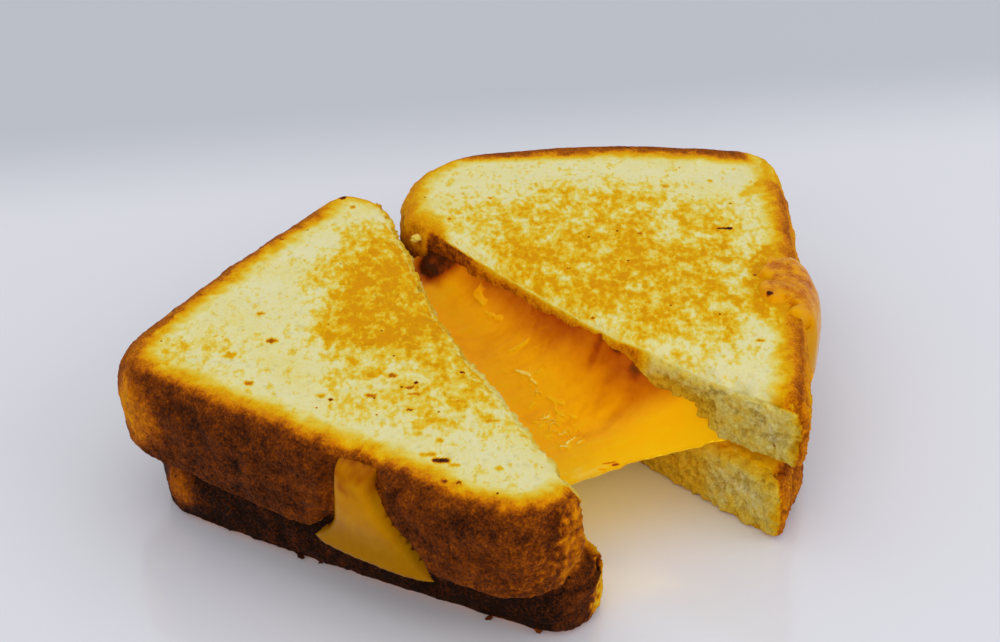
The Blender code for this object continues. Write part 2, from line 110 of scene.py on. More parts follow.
# %% Colours as the eye reads them, turned into the renderer's linear values
def linear(red, green, blue):
    """Linear colour of an 8-bit tone."""
    values = []
    for tone in (red, green, blue):
        share = tone / 255
        values.append(share / 12.92 if share <= 0.04045 else ((share + 0.055) / 1.055) ** 2.4)
    return tuple(values) + (1.0,)


# %% [markdown]
# ## Materials in short
# A finish is a tree of small nodes that feeds the shader. Written out, every node takes several
# lines, so one class makes the material and adds a node, with its settings and inputs, in one
# call. An input is either a plain value or the output of an earlier node.

# %% Node trees
class Finish:
    """New material whose nodes are added one call at a time."""

    def __init__(self, name):
        self.material = bpy.data.materials.new(name)
        self.material.use_nodes = True
        self.tree = self.material.node_tree
        self.shader = self.tree.nodes["Principled BSDF"]

    def feed(self, node, inputs):
        """Sets or links each of these inputs of a node."""
        for name, value in inputs.items():
            if isinstance(value, bpy.types.NodeSocket):
                self.tree.links.new(value, node.inputs[name])
            else:
                node.inputs[name].default_value = value

    def add(self, kind, output, inputs, **settings):
        """Adds a node and returns one of its outputs."""
        node = self.tree.nodes.new("ShaderNode" + kind)
        for name, value in settings.items():
            setattr(node, name, value)
        self.feed(node, inputs)
        return node.outputs[output]

    def math(self, operation, *values, clamp=False):
        return self.add("Math", 0, dict(enumerate(values)), operation=operation, use_clamp=clamp)

    def attribute(self, name):
        return self.add("Attribute", "Fac", {}, attribute_name=name)

    def noise(self, where, size_mm, detail=3.0, rough=0.55):
        """Noise on object coordinates, with features of this size."""
        inputs = {"Vector": where, "Scale": 1 / (size_mm * MM), "Detail": detail, "Roughness": rough}
        return self.add("TexNoise", "Fac", inputs)

    def centred_noise(self, gain, *settings):
        """Noise of plus or minus about half the gain."""
        return self.math("MULTIPLY_ADD", self.noise(*settings), gain, -gain / 2)

    def span(self, value, low, high, to_low=0.0, to_high=1.0):
        """Smooth change from one value to another over a range."""
        inputs = {"Value": value, "From Min": low, "From Max": high, "To Min": to_low, "To Max": to_high}
        return self.add("MapRange", "Result", inputs, interpolation_type="SMOOTHSTEP")

    def ramp(self, value, stops):
        """Colour of the value on a ramp of (place, linear colour) pairs."""
        colour = self.add("ValToRGB", "Color", {"Fac": value})
        elements = colour.node.color_ramp.elements
        while len(elements) < len(stops):
            elements.new(0.5)
        for element, (place, tone) in zip(elements, stops):
            element.position = place
            element.color = tone
        return colour

    def mix(self, share, first, second, blend="MIX"):
        inputs = {"Factor": share, "A": first, "B": second}
        return self.add("Mix", "Result", inputs, data_type="RGBA", blend_type=blend)

    def bump(self, height, strength, depth_mm):
        """Fine bump on the shader, under what the mesh can show."""
        inputs = {"Height": height, "Strength": strength, "Distance": depth_mm * MM}
        self.feed(self.shader, {"Normal": self.add("Bump", "Normal", inputs)})


# %% Table
def placed(shape, name):
    """Turns the bmesh into an object of the scene."""
    mesh = bpy.data.meshes.new(name)
    shape.to_mesh(mesh)
    shape.free()
    piece = bpy.data.objects.new(name, mesh)
    bpy.context.scene.collection.objects.link(piece)
    return piece


TABLE_HALF = 1.6
WALL_LINE = 148.0
WALL_NORMAL = (0.42, 0.907)
WALL_BLEND = 34.0
PALE_GREY = (0.80, 0.80, 0.845, 1)
WALL_GREY = (0.55, 0.575, 0.62, 1)

table_shape = bmesh.new()
bmesh.ops.create_grid(table_shape, x_segments=1, y_segments=1, size=TABLE_HALF)
table = placed(table_shape, "table")

finish = Finish("pale_table")
where = finish.add("TexCoord", "Object", {})
apart = finish.add("VectorMath", "Value", {0: where, 1: WALL_NORMAL + (0.0,)}, operation="DOT_PRODUCT")
line = (WALL_LINE + float(np.dot(WALL_NORMAL, CUT_SHIFT[:2]))) * MM
beyond = finish.span(apart, line - WALL_BLEND * MM, line + WALL_BLEND * MM)
grey = finish.mix(beyond, PALE_GREY, WALL_GREY)
finish.feed(finish.shader, {"Base Color": grey, "Roughness": 0.15, "Specular IOR Level": 0.9})
table.data.materials.append(finish.material)
print("table made")

# %% Lights
SOFT_BOX_WATTS = 2.45
WINDOW_WATTS = 6.5
SIDE_WATTS = 6.5
SURROUND = 0.655
SURROUND_TONE = (0.93, 0.95, 1.0, 1)


def area_light(name, place, size, watts):
    """Rectangular light that looks at the middle of the sandwich."""
    light = bpy.data.lights.new(name, "AREA")
    light.shape = "RECTANGLE"
    light.size, light.size_y = size
    light.energy = watts
    holder = bpy.data.objects.new(name, light)
    holder.location = place
    aim = Vector((0, 0, 0.02)) - holder.location
    holder.rotation_euler = aim.to_track_quat("-Z", "Y").to_euler()
    bpy.context.scene.collection.objects.link(holder)


area_light("soft_box", (0.05, 0.10, 1.15), (1.6, 1.3), SOFT_BOX_WATTS)
area_light("window", (1.0, -1.2, 0.8), (1.6, 1.2), WINDOW_WATTS)
area_light("side_window", (-1.1, -0.9, 0.6), (1.4, 1.0), SIDE_WATTS)

world = bpy.data.worlds.new("surround")
world.use_nodes = True
surround = world.node_tree.nodes["Background"]
surround.inputs["Color"].default_value = SURROUND_TONE
surround.inputs["Strength"].default_value = SURROUND
bpy.context.scene.world = world
bpy.context.scene.view_settings.view_transform = "Standard"
print("light made")

# %% [markdown]
# ## A fine even mesh
# A solid of the frame has a few thousand large triangles. Bread needs pores and wrinkles under
# a millimetre across, and those need a mesh just as fine everywhere. A voxel remesh makes one
# from any closed solid. The alternative, subdividing, would follow the long thin triangles of
# the solid and leave some places coarse. The solid itself is left alone: a merged copy is used.

# %% Even mesh
def smoothed(piece, rounds, chosen=None):
    """Draws all points, or the chosen ones, towards their neighbours, some rounds over."""
    shape = bmesh.new()
    shape.from_mesh(piece.data)
    verts = [vertex for vertex in shape.verts if chosen is None or chosen[vertex.index]]
    for _ in range(rounds):
        bmesh.ops.smooth_vert(
            shape, verts=verts, factor=0.5, use_axis_x=True, use_axis_y=True, use_axis_z=True,
        )
    shape.to_mesh(piece.data)
    shape.free()


def even_piece(node, name, voxel_mm, smoothing=1):
    """Piece with the form of the solid, in even quads of this size."""
    shape = bmesh.new()
    shape.from_mesh(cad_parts[node].data)
    bmesh.ops.remove_doubles(shape, verts=shape.verts, dist=1e-6)
    bmesh.ops.recalc_face_normals(shape, faces=shape.faces)
    piece = placed(shape, name)
    coarse = piece.data
    net = piece.modifiers.new("even", "REMESH")
    net.mode = "VOXEL"
    net.voxel_size = voxel_mm * MM
    graph = bpy.context.evaluated_depsgraph_get()
    even = bpy.data.meshes.new_from_object(piece.evaluated_get(graph))
    piece.modifiers.clear()
    piece.data = even
    bpy.data.meshes.remove(coarse)
    even.name = name
    smoothed(piece, smoothing)
    even.shade_smooth()
    return piece


# %% Reading and writing a piece's points, in millimetres from the cut's middle
def points_of(piece):
    flat = np.empty(len(piece.data.vertices) * 3, np.float32)
    piece.data.vertices.foreach_get("co", flat)
    return flat.reshape(-1, 3).astype(float) / MM - CUT_SHIFT


def normals_of(piece):
    flat = np.empty(len(piece.data.vertices) * 3, np.float32)
    piece.data.vertex_normals.foreach_get("vector", flat)
    return flat.reshape(-1, 3).astype(float)


def set_points(piece, points):
    flat = ((points + CUT_SHIFT) * MM).astype(np.float32).ravel()
    piece.data.vertices.foreach_set("co", flat)
    piece.data.update()


def set_attribute(piece, name, values):
    attribute = piece.data.attributes.new(name, "FLOAT", "POINT")
    attribute.data.foreach_set("value", np.asarray(values, np.float32))


# %% [markdown]
# ## Unevenness
# Food is uneven at several sizes at once. Smooth noise gives lumps, and cells give pores: each
# point finds its nearest cell middle, and the pit is deepest there. Both are measured only at
# the points that need them, because each costs a little time.

# %% Lumps and pores
def lumps(points, size, seed):
    """Smooth noise between about -1 and 1 with features of this size in millimetres."""
    shift = Vector((seed * 11.3, seed * 5.7, seed * 2.9))
    return np.array([noise.noise(Vector(place) + shift) for place in (points / size).tolist()])


def pores(points, size, seed, share):
    """Depth between 0 and 1 of round pits with middles about this far apart. A share under 1
    leaves some of them out."""
    shift = Vector((seed * 7.1, seed * 3.3, seed * 9.7))
    depths = []
    for place in (points / size).tolist():
        apart, middles = noise.voronoi(Vector(place) + shift)
        chance = abs(noise.cell(middles[0] * 7.77 + Vector((0.5, 0.5, 0.5))))
        if chance > share:
            depths.append(0.0)
            continue
        pit = max(0.0, 1 - apart[0] / (0.35 + 0.35 * chance))
        depths.append(pit * (2 - pit))
    return np.array(depths)


def only(mask, measure, points, *settings):
    """Measures at the points where the mask is above zero, and gives 0 elsewhere."""
    found = np.zeros(len(points))
    chosen = mask > 0.001
    if chosen.any():
        found[chosen] = measure(points[chosen], *settings)
    return found


# %% [markdown]
# ## Which part of a slice is which
# A slice has a toasted face, a crust round two of its sides, and a cut face where the knife went
# through the soft crumb. Each point is sorted by its direction and by two distances seen from
# above: to the cut line, and to the crust's outline.

# %% Distances in plan
# Each slice's cut seen from above, from place to place
CUT_LINES = {
    "near_top_slice": ((-35.4, -66.7), (-22.9, 0.9), (-4.1, 54.7)),
    "near_bottom_slice": ((-25, -60.4), (-19, -1.4), (-4.4, 53)),
    "far_top_slice": ((-3.6, 36.4), (3.6, -21.5), (20.4, -70.5)),
    "far_bottom_slice": ((-2, 34.6), (7.5, -16.5), (18.2, -67.5)),
}
CRUST_THICKNESS = 1.8


def lines_between(places):
    """The lines from each place to the next."""
    return list(zip(places[:-1], places[1:]))


def plan_distance(points, ends):
    """Distance seen from above from each point to the nearest of the lines."""
    nearest = np.full(len(points), 1e9)
    for first, last in ends:
        first = np.array(first[:2], float)
        side = np.array(last[:2], float) - first
        apart = points[:, :2] - first
        share = np.clip(apart @ side / max(1e-9, side @ side), 0.0, 1.0)
        nearest = np.minimum(nearest, np.linalg.norm(apart - share[:, None] * side, axis=1))
    return nearest


def inside_plan(points, corners):
    """Distance from a patch's outline seen from above, positive inside it."""
    ends = list(zip(corners, corners[1:] + corners[:1]))
    within = np.zeros(len(points), bool)
    x, y = points[:, 0], points[:, 1]
    for (ax, ay), (bx, by) in ends:
        at = ax + (y - ay) * (bx - ax) / (by - ay)
        within ^= ((ay > y) != (by > y)) & (x < at)
    return np.where(within, 1, -1) * plan_distance(points, ends)


def crust_sides(points, cut):
    """The sides of the slice's outline from above that are not the cut."""
    corners = [tuple(place) for place in points[:, :2].tolist()]
    loop = [corners[index] for index in geometry.convex_hull_2d([Vector(c) for c in corners])]
    at_cut = plan_distance(np.array(loop), cut) < 3.0
    sides = []
    for index in range(len(loop)):
        if not (at_cut[index] and at_cut[index - 1]):
            sides.append((loop[index - 1], loop[index]))
    return sides


# %% Sorting the points of a slice
RIM_DEPTH = 0.6


class Regions:
    """Shares of toasted face, underside, crust and crumb at each point of a slice."""

    def __init__(self, piece, node):
        self.node = node
        self.points = points_of(piece)
        self.normals = normals_of(piece)
        low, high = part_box(node)
        self.low = low.z / MM
        self.high = high.z / MM
        cut = lines_between(CUT_LINES[node])
        self.to_cut = plan_distance(self.points, cut)
        self.to_crust = plan_distance(self.points, crust_sides(self.points, cut))
        up = self.normals[:, 2]
        self.face = smooth_step(0.45, 0.8, up)
        self.under = smooth_step(0.45, 0.8, -up)
        side = 1 - self.face - self.under
        self.crumb = side * smooth_step(-0.5, 0.5, self.to_crust - self.to_cut - CRUST_THICKNESS)
        self.crust = side - self.crumb
        below = self.high - self.points[:, 2]
        above = self.points[:, 2] - self.low
        self.from_rim = self.to_crust - RIM_DEPTH - np.maximum(0.0, below - RIM_DEPTH)
        self.from_foot = self.to_crust - RIM_DEPTH - np.maximum(0.0, above - RIM_DEPTH)
        self.covered = np.zeros(len(self.points))
        if node == "far_top_slice":
            self.covered = smooth_step(-44.0, -32.0, self.points[:, 1])


# %% [markdown]
# ## Bread relief
# The toasted face is nearly flat: the pan pressed it, and only fine pits are left. The cut face
# is soft open crumb, torn rather than sliced, so it is lumpy at every size from one to five
# millimetres, with shallow hollows. Its upper edge is nibbled and bitten, and on the upper slices
# it rolls down a little. The crust is wrinkled leather with small pits and grains. All of it is
# moved geometry, so that it also shows in the mesh and casts its own small shadows.

# %% Places of torn crust, and how ragged the upper edges are
# Middle and reach of each place where strands of crust hang torn
TORN_CRUST = {
    "near_top_slice": (((-40, -71, 23), 18),),
    "far_top_slice": (((24, -67, 27), 16),),
    "far_bottom_slice": (((22, -66, 8), 14),),
}

# How far the upper edge of each cut goes in and out, and how far it sinks
CUT_EDGES = {
    "near_top_slice": (0.4, 0.5),
    "near_bottom_slice": (0.9, 0),
    "far_top_slice": (1.1, 2),
    "far_bottom_slice": (0.9, 0),
}


def near_place(points, middle, reach):
    """Share that falls from 1 at a place to 0 at its reach."""
    apart = np.linalg.norm(points - np.array(middle), axis=1)
    return fade(0.35 * reach, reach, apart)


# %% Ridges, bends and torn strands
def ridges(points, size, seed):
    """Between -1 in wide hollows and 1 on narrow ridges."""
    return 1 - 2 * np.abs(lumps(points, size, seed)) * 1.6


def warped(points, reach, size, seed):
    """Points pushed about by noise, so that what is measured there bends and curls."""
    pushes = [lumps(points, size, seed + part) for part in (0.2, 0.5, 0.8)]
    return points + reach * np.column_stack(pushes)


def fibres(regions, seed):
    """Torn strands of the crust, between 0 and 1, at the places listed for the slice."""
    mask = np.zeros(len(regions.points))
    for middle, reach in TORN_CRUST.get(regions.node, ()):
        mask = np.maximum(mask, regions.crust * near_place(regions.points, middle, reach))

    def strands(points, size, seed):
        return smooth_step(0.45, 0.95, ridges(warped(points, 1.4, 2.2, seed), size, seed))

    return mask * only(mask, strands, regions.points, 1.9, seed + 12)


# %% Relief of the flat faces and of the crust: outward shift, and the shade painted into its hollows
def face_relief(regions, seed):
    points = regions.points
    face = regions.face + regions.under
    pits = only(face, pores, points, 1.6, seed, 0.35)
    fine = only(face, lumps, points, 1.1, seed + 1)
    wide = only(face, lumps, points, 6.5, seed + 2)
    return face * (0.09 * fine + 0.14 * wide - 0.16 * pits), face * 0.25 * pits


def crust_relief(regions, seed, torn_strands):
    points = regions.points
    crust = regions.crust
    crags = only(crust, lumps, points, 5.0, seed + 8)
    wrinkles = only(crust, ridges, points, 2.2, seed + 9)
    grain = only(crust, lumps, points, 1.0, seed + 10)
    pits = only(crust, pores, points, 1.5, seed + 11, 0.4)
    leather = 0.62 * crags + 0.14 * wrinkles + 0.24 * grain - 0.16 * pits
    shade_depth = crust * 0.6 * smooth_step(0.1, -0.5, leather)
    return crust * (leather + 0.30 * torn_strands), shade_depth


# %% Relief and painted shade of the cut face, and relief of its torn upper edge
def crumb_relief(regions, seed):
    points = regions.points
    crumb = regions.crumb * (1 - 0.75 * regions.covered)
    wide = only(crumb, lumps, points, 4.6, seed + 3)
    middle = only(crumb, ridges, points, 2.3, seed + 4)
    small = only(crumb, lumps, points, 1.15, seed + 5)
    holes = only(crumb, pores, points, 3.0, seed + 6, 0.5)
    pits = only(crumb, pores, points, 1.5, seed + 14, 0.7)
    torn = 0.75 * wide + 0.34 * middle + 0.62 * small - 0.80 * holes - 0.50 * pits + 0.20
    # Shade painted over the open cut face: some everywhere, more in its hollows and further down from the
    # upper edge, less where the cheese covers it
    shaded_crumb = regions.crumb * (1 - 0.6 * regions.covered)
    below = regions.high - points[:, 2]
    shaded_crumb *= 0.35 + 0.65 * smooth_step(0.0, 7.0, below + 2.5 * wide + 1.5 * small)
    return crumb * torn, shaded_crumb * (0.66 + 1.3 * smooth_step(0.20, -0.80, torn))


def edge_relief(regions, seed):
    """Outward shift of the nibbled and bitten upper edge of the cut."""
    points = regions.points
    ragged, _ = CUT_EDGES[regions.node]
    above = regions.face * fade(0.5, 4.5, regions.to_cut) * (1 - 0.8 * regions.covered)
    shift = above * (0.95 * only(above, lumps, points, 2.1, seed + 13) - 0.65)
    crumb = regions.crumb * (1 - 0.75 * regions.covered)
    edge = crumb * fade(0.5, 4.0, regions.high - points[:, 2])
    shift += edge * (ragged * only(edge, lumps, points, 2.4, seed + 7) - 0.3)
    both = np.maximum(above, edge)
    bites = only(both, lumps, points, 5.2, seed + 15)
    return shift - 2.6 * ragged * both * np.clip(bites + 0.12, 0.0, 0.6)


def sunk_edge(regions):
    """How far each point sinks, in millimetres, because the slice rolls down towards its cut."""
    _, sinks = CUT_EDGES[regions.node]
    below = regions.high - regions.points[:, 2]
    beside = fade(0.0, 8.0, regions.to_cut) ** 2 * fade(0.5, 9.0, below)
    return sinks * beside * (1 - regions.covered)


# %% Relief of a whole slice
def bread_relief(regions, seed, torn_strands):
    """Outward shift of each point in millimetres, and the shade painted at each point, in hollows and over
    the open cut faces.
    """
    face_shift, face_shade = face_relief(regions, seed)
    crumb_shift, crumb_shade = crumb_relief(regions, seed)
    crust_shift, crust_shade = crust_relief(regions, seed, torn_strands)
    shift = face_shift + crumb_shift + edge_relief(regions, seed) + crust_shift
    return shift, np.clip(face_shade + crumb_shade + crust_shade, 0.0, 1.0)


# %% [markdown]
# ## Baking
# One number tells how far the heat has taken the bread at each point: 0 is soft cream crumb,
# 0.4 golden, 0.65 orange brown, 0.85 dark crust and 1 charred. Everything that browns uses the
# same scale, so the rim, the flecks and the crust pass into each other as they do in a pan. The
# rim browns over a few millimetres. Some edges leaned on the pan, so there the brown reaches
# further onto the face, and each kind of edge has a profile of its own.

# %% How the bake changes across a rim
# Each profile gives places in millimetres, from deep on the crust over the rim onto the toasted
# face, and the bake at each. The first four millimetres of the back rims are out of sight.
FRONT_BAKES = (0.86, 0.80, 0.69, 0.58, 0.47, 0.36, 0.16, 0.0)
RIM_PROFILES = {
    "front": ((-3.6, -0.2, 1.4, 2.5, 3.6, 4.8, 6.4, 8.4), FRONT_BAKES),
    "front left": ((-1.8, 1.4, 2.8, 4, 5.2, 6.6, 8.4, 10.4), FRONT_BAKES),
    "leaned": ((-2, 2, 4, 4.8, 5.8, 7, 8.2, 9.8), (0.76, 0.65, 0.6, 0.51, 0.43, 0.32, 0.12, 0)),
    "dark line": ((-2, 4.2, 5.6, 6.6, 7.8, 9.2, 10.6, 12.6), (0.74, 0.7, 0.67, 0.58, 0.46, 0.38, 0.14, 0)),
    "golden": ((-3, -0.5, 1, 2.4, 3.6, 4.8, 6.2, 8), (0.54, 0.52, 0.49, 0.45, 0.4, 0.3, 0.12, 0)),
    "ragged": ((-2, 0.5, 2, 3.4, 4.6, 5.8, 7, 8.6), (0.7, 0.65, 0.6, 0.54, 0.46, 0.36, 0.16, 0)),
    "pale": ((-2, 1, 3, 5, 7), (0.52, 0.38, 0.22, 0.1, 0)),
}

# Edges with another profile than the front: two ends in plan, reach beside the line, profile
RIM_EDGES = {
    "near_top_slice": (
        ((-89, 14), (-64, -42), 16, "front left"),
        ((-12, 65), (-90, 30.5), 13, "leaned"),
        ((-14, 64), (-4.5, 55), 9, "golden"),
    ),
    "far_top_slice": (
        ((88, 27), (26, 72), 13, "dark line"),
        ((16, 74), (-3, 46), 15, "golden"),
        ((24, -67), (92, 14), 12, "ragged"),
        ((93, 25), (88, 10), 9, "pale"),
    ),
}

# %% Where the crust is baked otherwise, and where it crumbles
# Middle, reach and bake of each place
CRUST_ZONES = {
    "near_top_slice": (
        ((-40, -71, 22), 19, 0.85),
        ((-80, -4, 24), 26, 0.91),
        ((-91, 20, 27), 12, 0.68),
        ((-55, 48, 30), 26, 0.83),
    ),
    "far_top_slice": (
        ((2, 54, 30), 22, 0.84),
        ((-2.5, 41, 29), 9, 0.93),
        ((60, -26, 28), 60, 0.71),
        ((88, 2, 27), 15, 0.92),
    ),
    "near_bottom_slice": (
        ((-30, -68, 9), 16, 0.9),
        ((-86, 14, 9), 9, 0.74),
    ),
    "far_bottom_slice": (((22, -66, 8), 16, 0.7),),
}

# Where the crust crumbles along the cut: places of a line in plan, bake
CRUMBLING = {
    "near_top_slice": (((-40, -71), (-35.4, -66.7), (-22.9, 0.9)), 0.66),
    "far_top_slice": (((3.6, -21.5), (20.4, -70.5), (23, -71.5)), 0.66),
    "near_bottom_slice": (((-31.5, -70.5), (-27, -65), (-25, -60.4), (-21.5, -40)), 0.42),
    "far_bottom_slice": (((7.5, -16.5), (18.2, -67.5)), 0.66),
}

# %% Stains on the toasted faces: places of a line, half width, bake
STAINS = {
    "near_top_slice": (
        (((-53.8, -43.4), (-52, -44.8)), 0.8, 0.91),
        (((-54.8, -40.3), (-53.1, -41.4)), 0.75, 0.5),
        (((-52.1, -46.5), (-50.8, -47.4)), 0.4, 0.46),
        (((-60.6, -48.7), (-58.8, -49.6)), 0.8, 0.9),
        (((-79.5, 31.5), (-68.5, 37)), 1.4, 0.66),
    ),
    "far_top_slice": (
        (((87, 18.2), (82.6, 12.4), (80, 9), (76, 7.4)), 1.5, 0.43),
        (((80, 8.6), (75.6, 6.6), (70, 6.2)), 1.9, 0.34),
        (((53.3, -3.4), (55.5, -4.9)), 0.55, 0.99),
        (((41, -34.6), (42.8, -35.2)), 0.5, 0.96),
        (((37, 56), (40.5, 53.5)), 1.6, 0.42),
    ),
}


def drawn(points, marks, uneven):
    """Strength of listed marks at each point: places of a line, half width, strength."""
    found = np.zeros(len(points))
    for places, half_width, strength in marks:
        apart = plan_distance(points, lines_between(places)) + 0.5 * half_width * uneven
        share = fade(0.6 * half_width, 1.6 * half_width, apart)
        found = np.maximum(found, strength * share)
    return found


def rim_bake(regions, uneven):
    """Bake from deep on the crust over the rim onto the toasted face."""
    place = regions.from_rim + uneven
    found = np.interp(place, *RIM_PROFILES["front"])
    for first, last, reach, profile in RIM_EDGES.get(regions.node, ()):
        share = fade(0.55 * reach, reach, plan_distance(regions.points, [(first, last)]))
        found += share * (np.interp(place, *RIM_PROFILES[profile]) - found)
    return found


# %% [markdown]
# ## Toasting
# The pan browned only what touched it, so the two faces are mottled: dense gold in the middle,
# scattered spots round it, and clean cream near the crust. Only the density is stored with the
# mesh. The grains themselves are finer than the mesh, so the shader makes them from noise.

# %% Direction of the pan's scuff marks, and the toasted patches of the two upper faces
STREAK = (0.819, -0.574)

# Corners in plan, softness and strength of each patch
TOASTED = {
    "near_top_slice": (
        (((-20, 43), (-37, 28), (-50, 8), (-48, -2), (-33, -8), (-29, -28), (-19, 0), (-9, 32)), 10, 1.2),
        (((-50, 2), (-60, -16), (-50, -33), (-35, -44), (-27, -30), (-29, -7)), 8, 0.6),
        (((-8, 44), (-14, 47), (-15, 39), (-9, 36)), 3, 0.75),
        (((-84, 29), (-86, 20), (-72, 10), (-62, 16), (-70, 26)), 6, 0.42),
    ),
    "far_top_slice": (
        (((5, 22), (22, 20), (38, 9), (50, -11), (36, -30), (12, -28), (0, -11), (-4, 12)), 9, 0.78),
        (
            ((2, 38), (14, 42), (33, 38), (54, 22), (66, -2), (48, -26), (24, -46), (12, -42), (0, -5)),
            9, 0.62,
        ),
        (((24, -46), (42, -32), (34, -24), (14, -34)), 6, 0.42),
        (((55, -14), (42, -25), (35, -36), (34, -50), (44, -52), (62, -30), (64, -20)), 3, 1.15),
    ),
}


def toasted_share(points, node):
    density = np.zeros(len(points))
    for corners, softness, strength in TOASTED.get(node, ()):
        patch = strength * smooth_step(-softness, softness, inside_plan(points, corners))
        density = np.maximum(density, patch) + 0.2 * np.minimum(density, patch)
    return density


def along_streak(points):
    """Points turned so that their first value runs along the pan's scuff marks."""
    along = points[:, 0] * STREAK[0] + points[:, 1] * STREAK[1]
    across = points[:, 1] * STREAK[0] - points[:, 0] * STREAK[1]
    return np.column_stack([along, across, points[:, 2]])


# %% [markdown]
# ## Flecks
# A few darker flecks lie on the tops: burnt crumbs and spots where a bubble touched the pan.
# They are placed one by one where they catch the eye, each as a small ragged oval.

# %% Fleck places: x, y, half length along the scuffs, half width, bake
FLECKS = {
    "near_top_slice": (
        (-58.5, 13.5, 1.5, 1.1, 0.66), (-44.4, -13.1, 1.3, 0.9, 0.64), (-55.2, 24.7, 0.9, 0.8, 0.56),
        (-56, -50, 0.6, 0.6, 0.86), (-53.8, -51.9, 0.6, 0.6, 0.86), (-43.9, -19, 1.5, 0.7, 0.66),
        (-31.7, -20.2, 0.6, 0.5, 0.95), (-48.3, -25.8, 0.8, 0.5, 0.92), (-42, -18.2, 0.5, 0.5, 0.97),
        (-59.7, -13.4, 0.5, 0.5, 0.95), (-12.3, 60.2, 0.9, 0.9, 0.88), (-12.9, 55, 0.7, 0.9, 0.6),
        (-34.6, 51.1, 0.5, 0.6, 0.72), (-46.9, 48.9, 1.6, 1.2, 0.62), (-62.7, 40.5, 1.8, 1.1, 0.66),
        (-37.1, -38.5, 1.8, 0.8, 0.5), (-68.6, 13.7, 1.4, 1.2, 0.46), (-70.4, 38.6, 1.6, 0.8, 0.92),
        (-44.5, -21.5, 1.8, 0.8, 0.58), (-52, -17, 1.4, 0.8, 0.6), (-38.5, -29, 2.2, 0.7, 0.48),
        (-60.5, -11, 0.9, 0.8, 0.46), (-49.1, -38.1, 0.8, 0.9, 0.5), (-45, -52.9, 0.9, 0.8, 0.4),
        (-70.5, 2, 1.1, 0.9, 0.62),
    ),
    "far_top_slice": (
        (46, -24.9, 0.6, 0.5, 0.8), (36.3, 5.1, 0.9, 0.8, 0.6),
        (3.5, 36.9, 0.7, 0.7, 0.58), (17.4, 40.1, 0.6, 0.5, 0.56), (28.6, -46.5, 1.1, 0.5, 0.62),
        (56.5, 20.5, 1, 1.1, 0.46), (67.4, 16.4, 0.8, 0.8, 0.4), (6.8, 38.2, 0.9, 0.6, 0.44),
        (25.5, 24.5, 2.2, 1.9, 0.42), (29.8, 21, 1.6, 1.3, 0.38), (44, 12.5, 1.4, 1.1, 0.4),
        (13, 2, 0.6, 0.5, 0.7), (5.5, -17, 0.6, 0.5, 0.66), (9.5, -12.5, 0.5, 0.4, 0.62),
    ),
}


def flecks(points, mask, places, seed):
    """Bake of the flecks at each point, 0 away from them."""
    turned = along_streak(points)
    ragged = only(mask, lumps, points, 0.9, seed) * 0.6
    found = np.zeros(len(points))
    for x, y, half_long, half_wide, bake in places:
        middle = along_streak(np.array([[x, y, 0.0]]))[0]
        far = np.hypot((turned[:, 0] - middle[0]) / half_long, (turned[:, 1] - middle[1]) / half_wide)
        found = np.maximum(found, bake * fade(0.7, 1.3, far + ragged))
    return found * mask


# %% [markdown]
# ## Bread finish
# The shader reads three numbers from the mesh: bake, toasted share and painted shade. It adds
# the grains that the mesh is too coarse for. Where the toasted share is high, most grains turn
# gold, and where it is low only a few do. One ramp then turns bake into colour, from cream to
# char. Shade is painted into hollows and over the open cut faces, a little darker and warmer. Light soaks
# a little way into soft crumb.

# %% Bread material
BREAD_TONES = (
    (0.00, linear(241, 234, 182)),
    (0.10, linear(240, 224, 128)),
    (0.24, linear(240, 206, 66)),
    (0.40, linear(239, 182, 6)),
    (0.56, linear(222, 134, 2)),
    (0.68, linear(172, 88, 4)),
    (0.80, linear(116, 52, 7)),
    (0.90, linear(78, 34, 9)),
    (1.00, linear(28, 12, 7)),
)
# Colour multiplied in where shade is painted, in hollows and over the cut faces
HOLLOW_SHADE_TINT = (0.47, 0.35, 0.155, 1)

# Size in millimetres and strength of each grain, and how much longer grains are along the scuffs
GRAINS = ((1.15, 2.5), (2.6, 1.9))
GRAIN_STRETCH = 1.7
FULL_GOLD = 0.42

# Burnt specks: how far apart in millimetres, their radius as a share of that, and their bake
PIN_SPACING = 6.0
PIN_RADIUS = 0.065
PIN_BAKE = 0.62


def golden_grains(finish, where):
    """Bake of the mottled faces, from the toasted share and two sizes of grain."""
    turn = {
        "Vector": where,
        "Rotation": (0, 0, math.atan2(STREAK[1], STREAK[0])),
        "Scale": (1.0, GRAIN_STRETCH, 1.0),
    }
    turned = finish.add("Mapping", "Vector", turn, vector_type="TEXTURE")
    toast = finish.attribute("toast")
    total = toast
    for size, gain in GRAINS:
        total = finish.math("ADD", total, finish.centred_noise(gain, turned, size, 2.5))
    gold = finish.span(total, 0.05, 1.45, 0.0, FULL_GOLD)
    return finish.math("ADD", gold, finish.math("MULTIPLY", toast, 0.06))


def pin_specks(finish, where):
    """Bake added by tiny burnt specks, far apart, all over the bread."""
    cells = {"Vector": where, "Scale": 1 / (PIN_SPACING * MM)}
    apart = finish.add("TexVoronoi", "Distance", cells)
    return finish.span(apart, 0.4 * PIN_RADIUS, PIN_RADIUS, PIN_BAKE, 0.0)


